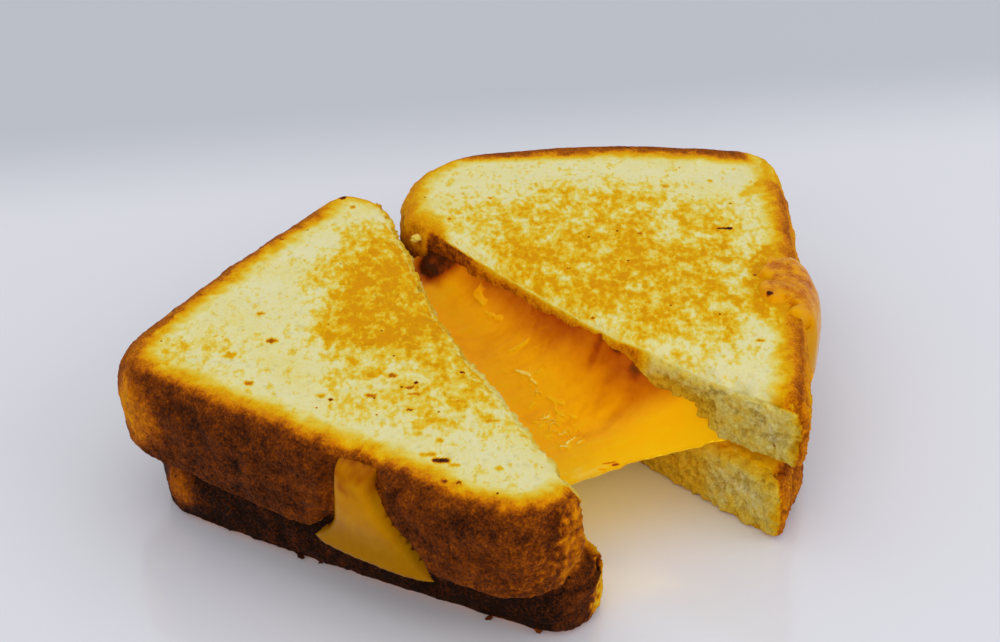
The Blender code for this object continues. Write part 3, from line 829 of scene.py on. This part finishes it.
def bread_material():
    finish = Finish("toasted_bread")
    where = finish.add("TexCoord", "Object", {})
    bake = finish.attribute("bake")
    fine = finish.centred_noise(1.0, where, 0.6, 4.0, 0.7)
    wide = finish.centred_noise(0.34, where, 3.2)
    strength = finish.math("MULTIPLY_ADD", bake, 0.42, 0.20)
    broken = finish.math("MULTIPLY", finish.math("ADD", fine, wide), strength)
    baked = finish.math("ADD", bake, broken)
    total = finish.math("MAXIMUM", baked, golden_grains(finish, where))
    total = finish.math("ADD", total, pin_specks(finish, where))
    total = finish.math("MINIMUM", total, 1.0, clamp=True)
    gritty = finish.math("MULTIPLY_ADD", fine, 1.8, 0.75)
    # Painted shade in hollows and on the cut faces, broken up by fine noise
    hollow_darkening = finish.math("MULTIPLY", finish.attribute("hollow_shade"), gritty, clamp=True)
    finish.feed(finish.shader, {
        "Base Color": finish.mix(hollow_darkening, finish.ramp(total, BREAD_TONES), HOLLOW_SHADE_TINT, "MULTIPLY"),
        "Roughness": finish.math("MULTIPLY_ADD", bake, -0.2, 0.78),
        "Specular IOR Level": 0.05,
        "Specular Tint": (1.0, 0.8, 0.5, 1),
        "Subsurface Weight": 0.12,
        "Subsurface Radius": (1.0, 0.6, 0.3),
        "Subsurface Scale": 1.2 * MM,
    })
    finish.bump(finish.noise(where, 0.6, 5.0, 0.7), 0.8, 0.5)
    return finish.material


bread = bread_material()
print("bread material made")

# %% [markdown]
# ## The four half slices
# The two upper halves show their toasted faces, and the two lower ones mostly their crust, dark
# from the pan; the near lower one is darker still, as painted shade under the upper slice. The
# same steps make all four, each with its own patches, flecks and darkness. The cut face of the
# upper far half is soaked and browned where the cheese was drawn off it.

# %% Bake of a cut face
def crumb_bake(regions, small, wide):
    """Bake of the crumb: clean in the middle, browned by the edges and stained by the cheese."""
    node = regions.node
    y = regions.points[:, 1]
    height = regions.points[:, 2]
    foot = fade(0.3, 2.0, height - regions.low + 0.9 * small)
    by_crust = fade(1.8, 4.6, regions.to_crust + 1.2 * small + 1.2 * wide)
    layers = [0.16 + 0.13 * wide + 0.12 * small, 0.42 * foot, by_crust * (0.52 + 0.10 * small)]
    if node == "near_top_slice":
        layers.append(0.38 * smooth_step(33.0, 36.0, height + 0.8 * small) * smooth_step(-34.0, -6.0, y))
    if node == "far_top_slice":
        soaked = smooth_step(-40.0, -24.0, y + 5 * wide)
        hinge = smooth_step(10.0, 26.0, y + 3 * wide)
        golden_top = smooth_step(33.6, 35.2, height + 0.8 * small)
        brown = 0.57 + 0.20 * hinge + 0.12 * small + 0.1 * wide - 0.18 * golden_top * (1 - hinge)
        over_cheese = fade(1.0, 5.0, height - 27.0 + 3 * wide)
        layers += [soaked * brown, 0.60 * smooth_step(36.0, 39.0, y)]
        layers.append(0.34 * over_cheese * smooth_step(-56.0, -46.0, y + 4 * wide))
    if node == "far_bottom_slice":
        layers.append(0.36 * smooth_step(11.5, 16.0, height + 2 * wide))
        layers.append(0.30 * smooth_step(-54.0, -44.0, y + 3 * wide))
    darker = 0.25 if node == "near_bottom_slice" else 0.0
    return np.maximum.reduce(layers) + darker


# %% Bake of a whole slice
RIM_CRUST_BAKE = 0.88


def slice_bake(regions, seed, crust_bake, uneven, shift, torn_strands):
    """Bake of each point, from the rims and the crust to the crumb, the flecks and the stains."""
    node = regions.node
    points = regions.points
    wide, middle, small = uneven
    rim = rim_bake(regions, 1.3 * wide + 1.5 * middle + 1.1 * small)
    tone = crust_bake + 0.05 * wide + 0.05 * middle
    for place, reach, bake in CRUST_ZONES[node]:
        tone += near_place(points, place, reach) * (bake - tone)
    rim += (tone - RIM_CRUST_BAKE) * smooth_step(0.5, -2.5, regions.from_rim)
    bake = (regions.face + regions.crust) * rim
    # Crust a little darker in its grooves and lighter on its ridges: painted shade and light that follow
    # the relief, with some fine unevenness
    bake += regions.crust * (0.06 * small - 0.08 * np.clip(shift, -0.4, 0.5))
    bake -= 0.09 * torn_strands
    places, crumbling_bake = CRUMBLING[node]
    apart = plan_distance(points, lines_between(places))
    crumbling = regions.crust * fade(0.6, 3.6, apart + 1.8 * small + 1.2 * middle)
    bake += crumbling * (crumbling_bake + 0.16 * small - bake)
    if "bottom" in node:
        bake = np.maximum(bake, regions.face * (0.36 + 0.10 * small))
    bake += regions.face * (0.04 + 0.05 * wide)
    foot = np.interp(regions.from_foot, *RIM_PROFILES["front"])
    bake += regions.under * np.maximum(foot, 0.52 + 0.2 * small + 0.15 * middle)
    bake += regions.crumb * crumb_bake(regions, small, wide)
    bake = np.maximum(bake, flecks(points, regions.face, FLECKS.get(node, ()), seed + 23))
    bake = np.maximum(bake, regions.face * drawn(points, STAINS.get(node, ()), middle + small))
    return np.clip(bake, 0.0, 1.0)


# %% Making a half slice
def bread_half(node, name, voxel_mm, crust_bake, seed):
    piece = even_piece(node, name, voxel_mm)
    regions = Regions(piece, node)
    points = regions.points
    torn_strands = fibres(regions, seed)
    shift, shade_depth = bread_relief(regions, seed, torn_strands)
    wide = lumps(points, 9.0, seed + 20)
    middle = lumps(points, 3.6, seed + 21)
    small = lumps(points, 1.5, seed + 22)
    bake = slice_bake(regions, seed, crust_bake, (wide, middle, small), shift, torn_strands)
    toast = toasted_share(points, node) + 0.12
    toast += (0.35 * wide + 0.40 * middle) * (0.25 + np.minimum(toast, 0.75))
    moved = points + regions.normals * shift[:, None]
    moved[:, 2] -= sunk_edge(regions)
    set_points(piece, moved)
    set_attribute(piece, "bake", bake)
    set_attribute(piece, "toast", np.clip(toast, -0.5, 1.3) * regions.face)
    # Shade painted in hollows and on the cut faces, for the shader
    set_attribute(piece, "hollow_shade", shade_depth)
    piece.data.materials.clear()
    piece.data.materials.append(bread)
    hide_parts(node)
    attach(piece, "root")
    print(name, len(piece.data.polygons) * 2, "triangles")


# %% The four halves: node, name, voxel size in millimetres, bake of the crust
HALVES = (
    ("near_top_slice", "near_upper_bread", 0.485, 0.865),
    ("far_top_slice", "far_upper_bread", 0.495, 0.76),
    # The near lower crust's bake near 1 is partly painted shade under the upper slice
    ("near_bottom_slice", "near_lower_bread", 0.52, 1.03),
    ("far_bottom_slice", "far_lower_bread", 0.52, 0.84),
)

for seed, half in enumerate(HALVES, 1):
    bread_half(*half, seed)

# %% [markdown]
# ## Melted cheese
# The cheese is one solid of the frame: the layers between the slices, the sheet stretched across
# the wedge, and what ran out at two places. It clings to the bread, so where the solid stops just
# short of a slice, the finished piece reaches into it, and the edge is hidden in the crumb. The
# sheet has strands where it was pulled, and small curled wrinkles along its fold, with glints
# painted on them. Its free edge is drawn smooth first.

# %% Where a point lies on the stretched sheet
# The sheet's two sides from above, as y values with the x at each, and where each side starts in
# y and how long it is. The free edge is pulled in between them.
NEAR_SIDE = ((-66.7, 0.9, 54.7), (-34.2, -21.7, -2.9))
FAR_SIDE = ((-70.5, -21.5, 36.4), (19.3, 2.5, -4.7))
NEAR_Y = 42.0
NEAR_LENGTH = 87.0
FAR_Y = 33.5
FAR_LENGTH = 87.5
EDGE_PULL = 2.6


def sheet_shares(points):
    """Share from the joined corner to the free edge, and share across from near to far. Each
    follows from the other, so a few rounds settle them."""
    along = np.full(len(points), 0.5)
    across = np.full(len(points), 0.5)
    for _ in range(6):
        inside = np.clip(across, 0.0, 1.0)
        pull = 4 * EDGE_PULL * smooth_step(0.75, 1.0, along) * inside * (1 - inside)
        start = NEAR_Y + (FAR_Y - NEAR_Y) * inside
        length = NEAR_LENGTH + (FAR_LENGTH - NEAR_LENGTH) * inside
        along = (start - points[:, 1] + pull) / length
        near_x = np.interp(NEAR_Y - NEAR_LENGTH * along, *NEAR_SIDE)
        far_x = np.interp(FAR_Y - FAR_LENGTH * along, *FAR_SIDE)
        across = (points[:, 0] - near_x) / np.maximum(1.0, far_x - near_x)
    return along, across, near_x, far_x


def sheet_height(along, across):
    """Height of the sheet: it hangs between the two cuts and climbs the far one."""
    row = np.clip(along, 0.0, 1.0)
    column = np.clip(across, 0.0, 1.0)
    near = 19.2 + 9.5 * (1 - row) ** 1.3
    far = 20.0 + 6.0 * fade(0.70, 0.82, row) + 8.2 * fade(0.88, 1.02, row)
    rise = 0.35 * column + 0.65 * column ** 3
    sag = (2.4 * np.sin(np.pi * row) + 0.6) * 4 * column * (1 - column)
    ripple = 0.35 * np.sin(13 * row + 2.5 * column) * np.sin(np.pi * column)
    return near + (far - near) * rise - sag + ripple


# %% Wrinkles of the sheet with painted glints, and streaks: places of a line, half width, strength
FOLD_LINE = ((-4.6, 14), (-5.1, 8), (-6.4, -4), (-9.2, -14), (-12, -25), (-13, -35), (-11.5, -47))
WRINKLES_AND_GLINTS = (
    (((-4.7, 16), (-5.1, 12.2)), 0.42, 0.8), (((-5.7, 10.3), (-5.4, 7), (-5.1, 5.1)), 0.26, 0.7),
    (((-7.7, -3.5), (-5.5, -5.2)), 0.4, 0.7), (((-9.6, -9.1), (-8.7, -12.6)), 0.4, 0.8),
    (((-9, -13.9), (-9, -15.7)), 0.28, 0.8), (((-9.2, -20.9), (-8.2, -24.7)), 0.36, 0.7),
    (((-13.9, -24.4), (-12, -25.3)), 0.34, 0.8), (((-9.9, -25.5), (-9.8, -26.9)), 0.3, 0.7),
    (((-8.4, -28.6), (-8, -29.1)), 0.3, 0.7), (((-15.8, -23.8), (-15.2, -24.5)), 0.3, 0.7),
    (((-13.5, -30.3), (-11.8, -30.7)), 0.34, 0.8), (((-14.1, -33.9), (-11.3, -33.4)), 0.42, 0.9),
    (((-15.6, -34), (-14.5, -35.1)), 0.38, 0.9), (((-12.3, -35.6), (-10.8, -35.5)), 0.32, 0.8),
    (((-16.2, -29.1), (-14.9, -29.9)), 0.3, 0.7), (((-13.7, -19.9), (-12.3, -19.5)), 0.28, 0.6),
    (((-15.5, -26.2), (-14.2, -25.6)), 0.28, 0.6),
)
STREAKS = (
    (((1.4, -21.7), (-1.6, -22.8)), 0.7, 0.35), (((-2.1, -29), (-4, -30.2)), 0.5, 0.35),
    (((0.2, -28.8), (-5.2, -30.7)), 1.1, 0.2), (((-10.9, -28.8), (-7.9, -29.6), (-5.6, -28.5)), 0.7, 0.25),
    (((-10.1, -34.9), (-5.8, -35.6), (-2.3, -34.4), (0.8, -33.6)), 1, 0.3),
    (((-11.7, -43.9), (-9.3, -44.8)), 0.2, 2.4), (((-10.1, -45.4), (-9.2, -45.7)), 0.35, 3),
    (((-13.6, -44.8), (-11.8, -45.9)), 0.18, 1.6), (((-0.4, 1.8), (-0.2, 0)), 1.5, 0.3),
    (((2.8, -25.4), (2.8, -26.4)), 0.9, 0.4), (((3, -31), (3.6, -32)), 0.8, 0.3),
)


def curls(points, mask):
    """Small curled wrinkles where the sheet folds, between 0 and 1. They are raised, and painted paler as
    glints.
    """
    apart = plan_distance(points, lines_between(FOLD_LINE))
    band = mask * np.exp(-(apart / 3.6) ** 2) * smooth_step(8.0, -18.0, points[:, 1])
    band *= smooth_step(-40.0, -33.0, points[:, 1])

    def measure(places, size, seed):
        found = smooth_step(0.35, 1.0, ridges(warped(places, 1.4, 2.2, seed), size, seed))
        return found * smooth_step(-0.1, 0.35, lumps(places, 3.5, seed + 3))

    return band * only(band, measure, points, 1.7, 41)


# %% Places of the drip and of the cheese on the outer side
LEG_START = np.array((-88.9, 21.6))
LEG_END = np.array((-52.2, -67.8))
OOZE_START = np.array((21.3, -69.3))
OOZE_END = np.array((85.2, 10.6))


def outwards(start, end):
    """Level direction that leads away from the bread at a crust side."""
    side = (end - start) / np.linalg.norm(end - start)
    return np.array((side[1], -side[0], 0.0))


def beside(points, start, end):
    """Distance along a crust side from its start, and distance outwards from it."""
    side = (end - start) / np.linalg.norm(end - start)
    apart = points[:, :2] - start
    return apart @ side, apart @ outwards(start, end)[:2]


# %% Cheese piece, with a finer mesh where it shows small forms
def refined(piece, chosen):
    """Splits the faces between the chosen points."""
    shape = bmesh.new()
    shape.from_mesh(piece.data)
    edges = [edge for edge in shape.edges if all(chosen[vertex.index] for vertex in edge.verts)]
    bmesh.ops.subdivide_edges(shape, edges=edges, cuts=1, use_grid_fill=True)
    shape.to_mesh(piece.data)
    shape.free()
    piece.data.shade_smooth()


def small_forms(piece, reach):
    """Which points lie near the fold on top of the sheet, or on the outer cheese."""
    points = points_of(piece)
    side, out = beside(points, OOZE_START, OOZE_END)
    ooze = (out > -16.0) & (side > 30.0) & (side < 63.0) & (points[:, 2] > 33.5)
    fold = plan_distance(points, lines_between(FOLD_LINE)) < reach
    return ooze | (fold & (points[:, 2] > 18.5) & (normals_of(piece)[:, 2] > 0.2))


cheese = even_piece("cheese", "melted_cheese", 0.82, 2)
along, across, near_x, far_x = sheet_shares(points_of(cheese))
free_edge = (along > 0.93) & (along < 1.1) & (across > 0.05) & (across < 1.12)
smoothed(cheese, 6, free_edge)
for reach in (6.0, 4.2):
    refined(cheese, small_forms(cheese, reach))
points = points_of(cheese)
normals = normals_of(cheese)
print("cheese", sum(len(face.vertices) - 2 for face in cheese.data.polygons), "triangles")

# %% The upper face of the sheet follows the formula of its height
along, across, near_x, far_x = sheet_shares(points)
between = smooth_step(-0.02, 0.06, across) * fade(0.94, 1.02, across)
between *= smooth_step(-0.04, 0.02, along) * fade(1.0, 1.04, along)
apart = sheet_height(along, across) - points[:, 2]
upper = between * smooth_step(0.05, 0.3, normals[:, 2]) * (np.abs(apart) < 2.5)
moved = points.copy()
moved[:, 2] += upper * apart
print("sheet", int((between > 0.5).sum()), "points")

# %% The sheet clings to both cuts
inside_far = fade(2.0, 9.0, points[:, 0] - far_x)
inside_near = fade(2.0, 9.0, near_x - points[:, 0])
moved[:, 0] += 3.0 * smooth_step(0.5, 1.0, across) * inside_far
moved[:, 0] -= 2.6 * smooth_step(0.3, 0.0, across) * inside_near
climbs = smooth_step(0.60, 1.0, across) * fade(0.66, 0.80, along)
climbs *= smooth_step(20.0, 24.0, moved[:, 2])
moved[:, 2] += 1.5 * climbs * inside_far
behind_cut = np.clip(moved[:, 0] - far_x - 1.1, -2.0, 2.0)
low_far = np.minimum(moved[:, 2], 34.9 + 0.3 * behind_cut)
moved[:, 2] += smooth_step(0.80, 0.95, across) * inside_far * (low_far - moved[:, 2])
print("furthest move", round(float(np.abs(moved - points).max()), 1))

# %% Strands and wrinkles
on_sheet = between * smooth_step(17.0, 19.0, points[:, 2])
top = on_sheet * smooth_step(0.0, 0.3, normals[:, 2])
strand_places = np.column_stack([along * NEAR_LENGTH, across * 9, np.zeros(len(points))])
streaks = only(on_sheet, lumps, strand_places, 1.7, 31)
broad = only(on_sheet, lumps, strand_places, 7.0, 32)
bumps = only(on_sheet, lumps, points, 3.0, 33)
jitter = only(top, lumps, points, 1.2, 34)
# The listed wrinkles are raised, and further down also painted paler as glints
glints = top * drawn(points, WRINKLES_AND_GLINTS, 3.2 * jitter) * (0.75 + 0.5 * jitter)
wrinkles = np.maximum(np.clip(glints, 0, 1), 0.85 * curls(points, top))
marks = top * drawn(points, STREAKS, jitter)
rise = on_sheet * (0.14 * streaks + 0.35 * broad + 0.12 * bumps)
rise += 0.50 * wrinkles - 0.12 * np.minimum(marks, 1)
moved += normals * rise[:, None]
print("wrinkled", int((wrinkles > 0.3).sum()), "points")

# %% [markdown]
# ## The drip and the cheese on the outer side
# On the solids these two are plates laid on the crust. Real cheese thins out into the crust and
# its edge is ragged, so the points near each plate's border sink into the bread, more or less
# from place to place. The cheese on the outer side has browned into a lace on top, which starts
# as thin wavy lines along the pan's scuff marks.

# %% Sinking the border of the drip
DRIP_TOP = 35.6
DRIP_FOOT = 13.4
DRIP_LEFT = 52.8
DRIP_RIGHT = 65.6
DRIP_SPREADS = (6.8, 14.4)
DRIP_INSET = 1.4

drip_along, drip_out = beside(points, LEG_START, LEG_END)
height = points[:, 2]
drip = (drip_out > -4.0) & (drip_along > 40.0) & (drip_along < 84.0) & (across < -0.2)
lowness = 1 - np.clip((height - DRIP_FOOT) / (DRIP_TOP - DRIP_FOOT), 0.0, 1.0)
drip_left = DRIP_LEFT - DRIP_SPREADS[0] * lowness ** 4
drip_right = DRIP_RIGHT + DRIP_SPREADS[1] * lowness ** 1.6
border = np.minimum(drip_along - drip_left, drip_right - drip_along) - DRIP_INSET
top_border = DRIP_TOP - height + 0.9 * only(drip, lumps, points, 2.6, 40)
sink = fade(0.0, 1.8, border) * smooth_step(14.0, 18.0, height)
sink = np.maximum(sink, fade(0.0, 2.0, top_border))
moved -= outwards(LEG_START, LEG_END) * (2.2 * sink * drip)[:, None]
print("drip", int(drip.sum()), "points")

# %% Sinking the border of the cheese on the outer side
# Where it starts and how long it is, as shares of the crust side, and both lengths in millimetres
OOZE_FROM = 0.31
OOZE_SHARE = 0.29
OOZE_SIDE = 102.3
OOZE_WIDTH = 29.7


def wavy_lines(points, size, seed):
    """Thin wavy lines between -1 and 1 that run along the pan's scuff marks."""
    turned = along_streak(warped(points, 0.8, 1.9, seed))
    return ridges(turned * (0.42, 1.0, 1.0), size, seed)


ooze_along, ooze_out = beside(points, OOZE_START, OOZE_END)
ooze_row = (ooze_along / OOZE_SIDE - OOZE_FROM) / OOZE_SHARE
ooze = (ooze_out > -16.0) & (ooze_row > -0.1) & (ooze_row < 1.1) & (height > 20.0) & (across > 1.2)
ragged = only(ooze, lumps, points, 4.2, 35)
lace_and_glints = only(ooze, wavy_lines, points, 0.8, 36)
inner = ooze_out + 3.4 + 6.0 * np.sin(np.pi * np.clip(ooze_row, 0, 1)) ** 0.7
from_end = np.minimum(ooze_row, 1 - ooze_row) * OOZE_WIDTH
border = np.minimum(from_end, inner)
border = border * (1 + 0.7 * ragged) + np.minimum(0.0, 2.6 * ragged)
sink = fade(0.2, 2.8, border)
on_top = ooze * smooth_step(32.5, 36.5, height)
moved[:, 2] -= (2.7 + 2.0 * smooth_step(-7.0, -2.0, ooze_out)) * sink * on_top
moved += normals * (on_top * (1 - sink) * (0.07 * lace_and_glints + 0.35 * ragged))[:, None]
ends = fade(0.0, 5.0, from_end + ragged) * ooze * (ooze_out > -3.0)
moved -= outwards(OOZE_START, OOZE_END) * (2.4 * ends)[:, None]
set_points(cheese, moved)
print("outer cheese", int(ooze.sum()), "points")

# %% [markdown]
# ## Cheese finish
# The tone number of the cheese runs from 0, dark orange brown, over 0.55, the orange yellow of
# the warm sheet, to 1, the pale colour of painted glints. The sheet is darkest where it climbs
# the far half, where it is browned and painted in shade, and in the corner by the hinge, where
# shade is painted. It is yellowest at its thin free edge, and browned where it met the pan. Two
# more numbers say where light comes through, and where the cheese is darkened: with painted shade
# on the drip and on the side of the outer cheese, and as duller browned colour on top of the
# outer cheese. Real light passes the thin stretched sheet, but the solid is thicker, so a weak
# glow on the underside stands in.

# %% Tone of the sheet
HINGE_SHADE = (-4.6, 31.5, 30.5)

# Where the sheet climbs the far half it is darker: partly browned, partly painted shade on the steep face
# that turns away from the light
climb_brown_and_shade = smooth_step(0.62, 0.98, across) * fade(0.74, 0.90, along)
climb_brown_and_shade *= smooth_step(-0.05, 0.08, along)
tone = 0.54 + 0.05 * (1 - np.clip(across, 0, 1)) + 0.07 * streaks + 0.10 * broad
tone -= climb_brown_and_shade * (0.46 + 0.10 * streaks)
tone += 0.22 * smooth_step(0.84, 1.02, along) * between
tone = np.where(between > 0.02, tone, 0.50)
# Painted glints: the wrinkles and curls are painted paler, the listed ones paler still
tone += 0.26 * wrinkles + 0.34 * wrinkles ** 3 + 0.22 * np.clip(glints, 0, 1) ** 2 - 0.22 * marks
# Painted shade in the corner by the hinge, deep between the two halves
tone -= 0.62 * near_place(points, HINGE_SHADE, 8.0)

# %% Tone of the drip and of the outer cheese
OOZE_SPECK = (41.6, -34.7)

drip_edge = top_border + 2.5 * only(drip, lumps, points, 2.0, 37)
drip_toast = drip * fade(1.0, 6.5, drip_edge)
drip_mottle = only(drip, lumps, points, 1.8, 38)
tone -= drip_toast * (0.26 + 0.30 * drip_mottle)
mottle = only(ooze, lumps, points, 2.4, 39)
browned = smooth_step(0.5, 5.0, inner + 2.2 * mottle)
browned *= smooth_step(0.02, 0.30, ooze_row) * smooth_step(1.0, 0.75, ooze_row)
tone += on_top * (0.14 - 0.34 * np.clip(browned * (0.85 + 0.7 * mottle), 0.0, 1.3))
# Painted highlights: the ridges of the browned lace are made paler
tone += 0.16 * on_top * browned * smooth_step(0.3, 0.95, lace_and_glints)
tone += 0.10 * ooze * (1 - on_top)
from_speck = np.hypot(points[:, 0] - OOZE_SPECK[0], points[:, 1] - OOZE_SPECK[1])
tone -= 0.9 * fade(0.5, 1.1, from_speck + 0.4 * ragged) * on_top
set_attribute(cheese, "tone", np.clip(tone, 0.0, 1.0))

# %% Where the cheese is dull and where shade is painted on it, and where light comes through
# The drip faces away from the light, so it is darkened as painted shade, more towards its foot. The cheese
# on the outer side is duller and browned on top, and its side is darkened as painted shade too.
dull_and_shade = drip * (0.73 + 0.30 * smooth_step(27.0, 15.0, height)) + ooze * (0.50 - 0.17 * on_top)
set_attribute(cheese, "dull_and_shade", dull_and_shade)
underside = between * smooth_step(-0.6, -0.9, normals[:, 2]) * smooth_step(12.0, 15.0, height)
set_attribute(cheese, "through", underside * smooth_step(0.50, 0.85, along))
print("tones from", round(float(tone.min()), 2), "to", round(float(tone.max()), 2))

# %% Cheese material
CHEESE_TONES = (
    (0.0, linear(70, 26, 4)),
    (0.10, linear(172, 68, 0)),
    (0.30, linear(220, 124, 0)),
    (0.55, linear(255, 172, 0)),
    (0.80, linear(250, 190, 6)),
    (1.0, linear(255, 228, 120)),
)
# Colour multiplied in for dull cheese and for the shade painted on the drip and on the outer cheese's side
DULL_AND_SHADE_TINT = (0.36, 0.37, 0.32, 1)
GLOW = 0.85


def cheese_material():
    finish = Finish("melted_cheese")
    where = finish.add("TexCoord", "Object", {})
    mottle = finish.centred_noise(0.22, where, 3.5, 4.0)
    total = finish.math("ADD", finish.attribute("tone"), mottle, clamp=True)
    colour = finish.ramp(total, CHEESE_TONES)
    finish.feed(finish.shader, {
        "Base Color": finish.mix(finish.attribute("dull_and_shade"), colour, DULL_AND_SHADE_TINT, "MULTIPLY"),
        "Emission Color": (1.0, 0.80, 0.02, 1),
        "Emission Strength": finish.math("MULTIPLY", finish.attribute("through"), GLOW),
        "Roughness": 0.22,
        "Specular IOR Level": 0.09,
        "Specular Tint": (1.0, 0.72, 0.2, 1),
        "Subsurface Weight": 0.15,
        "Subsurface Radius": (1.0, 1.0, 0.6),
        "Subsurface Scale": 0.8 * MM,
    })
    finish.bump(finish.noise(where, 1.4), 0.35, 0.4)
    return finish.material


cheese.data.materials.clear()
cheese.data.materials.append(cheese_material())
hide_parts("cheese")
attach(cheese, "root")
print("cheese finished")

# %% [markdown]
# ## Crumbs
# A few crumbs lie at the foot of the near half's long crust, and one hangs in the gap by the
# hinge. Each is a small sphere pushed about by noise, and they are joined in one mesh, because
# crumbs this small need no objects of their own.

# %% Crumb places: x, y, z, size, bake
CRUMBS = (
    (-69.2, -13.6, 0.9, 1.3, 0.93), (-63, -22, 1, 1.6, 0.9), (-66.4, -17.4, 0.8, 1, 0.95),
    (-47.7, -53.2, 0.9, 1.2, 0.88), (-41.6, -62, 0.9, 1.4, 0.8), (-71.6, 18.6, 1, 1.1, 0.9),
    (-5.4, 38.2, 34.2, 2.4, 0.2),
)


def add_crumb(shape, place, size, seed):
    """Adds one uneven lump and returns how many vertices it has."""
    made = bmesh.ops.create_icosphere(shape, subdivisions=4, radius=size / 2 * MM)
    middle = to_frame(*place)
    for vertex in made["verts"]:
        direction = vertex.co.normalized()
        push = noise.noise(direction * 1.3 + Vector((seed * 3.7, seed, 0)))
        push += 0.5 * noise.noise(direction * 3.4 + Vector((seed, seed * 2.3, 0)))
        vertex.co *= 1 + push * min(0.9, 0.9 / size)
        vertex.co.z *= 0.7
        vertex.co += middle
    return len(made["verts"])


# %% Crumb piece
crumb_shape = bmesh.new()
crumb_bakes = []
for seed, (x, y, z, size, bake) in enumerate(CRUMBS):
    crumb_bakes += [bake] * add_crumb(crumb_shape, (x, y, z), size, seed)
crumbs = placed(crumb_shape, "loose_crumbs")
crumbs.data.shade_smooth()
set_attribute(crumbs, "bake", crumb_bakes)
crumbs.data.materials.append(bread)
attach(crumbs, "root")
print("crumbs", len(CRUMBS))
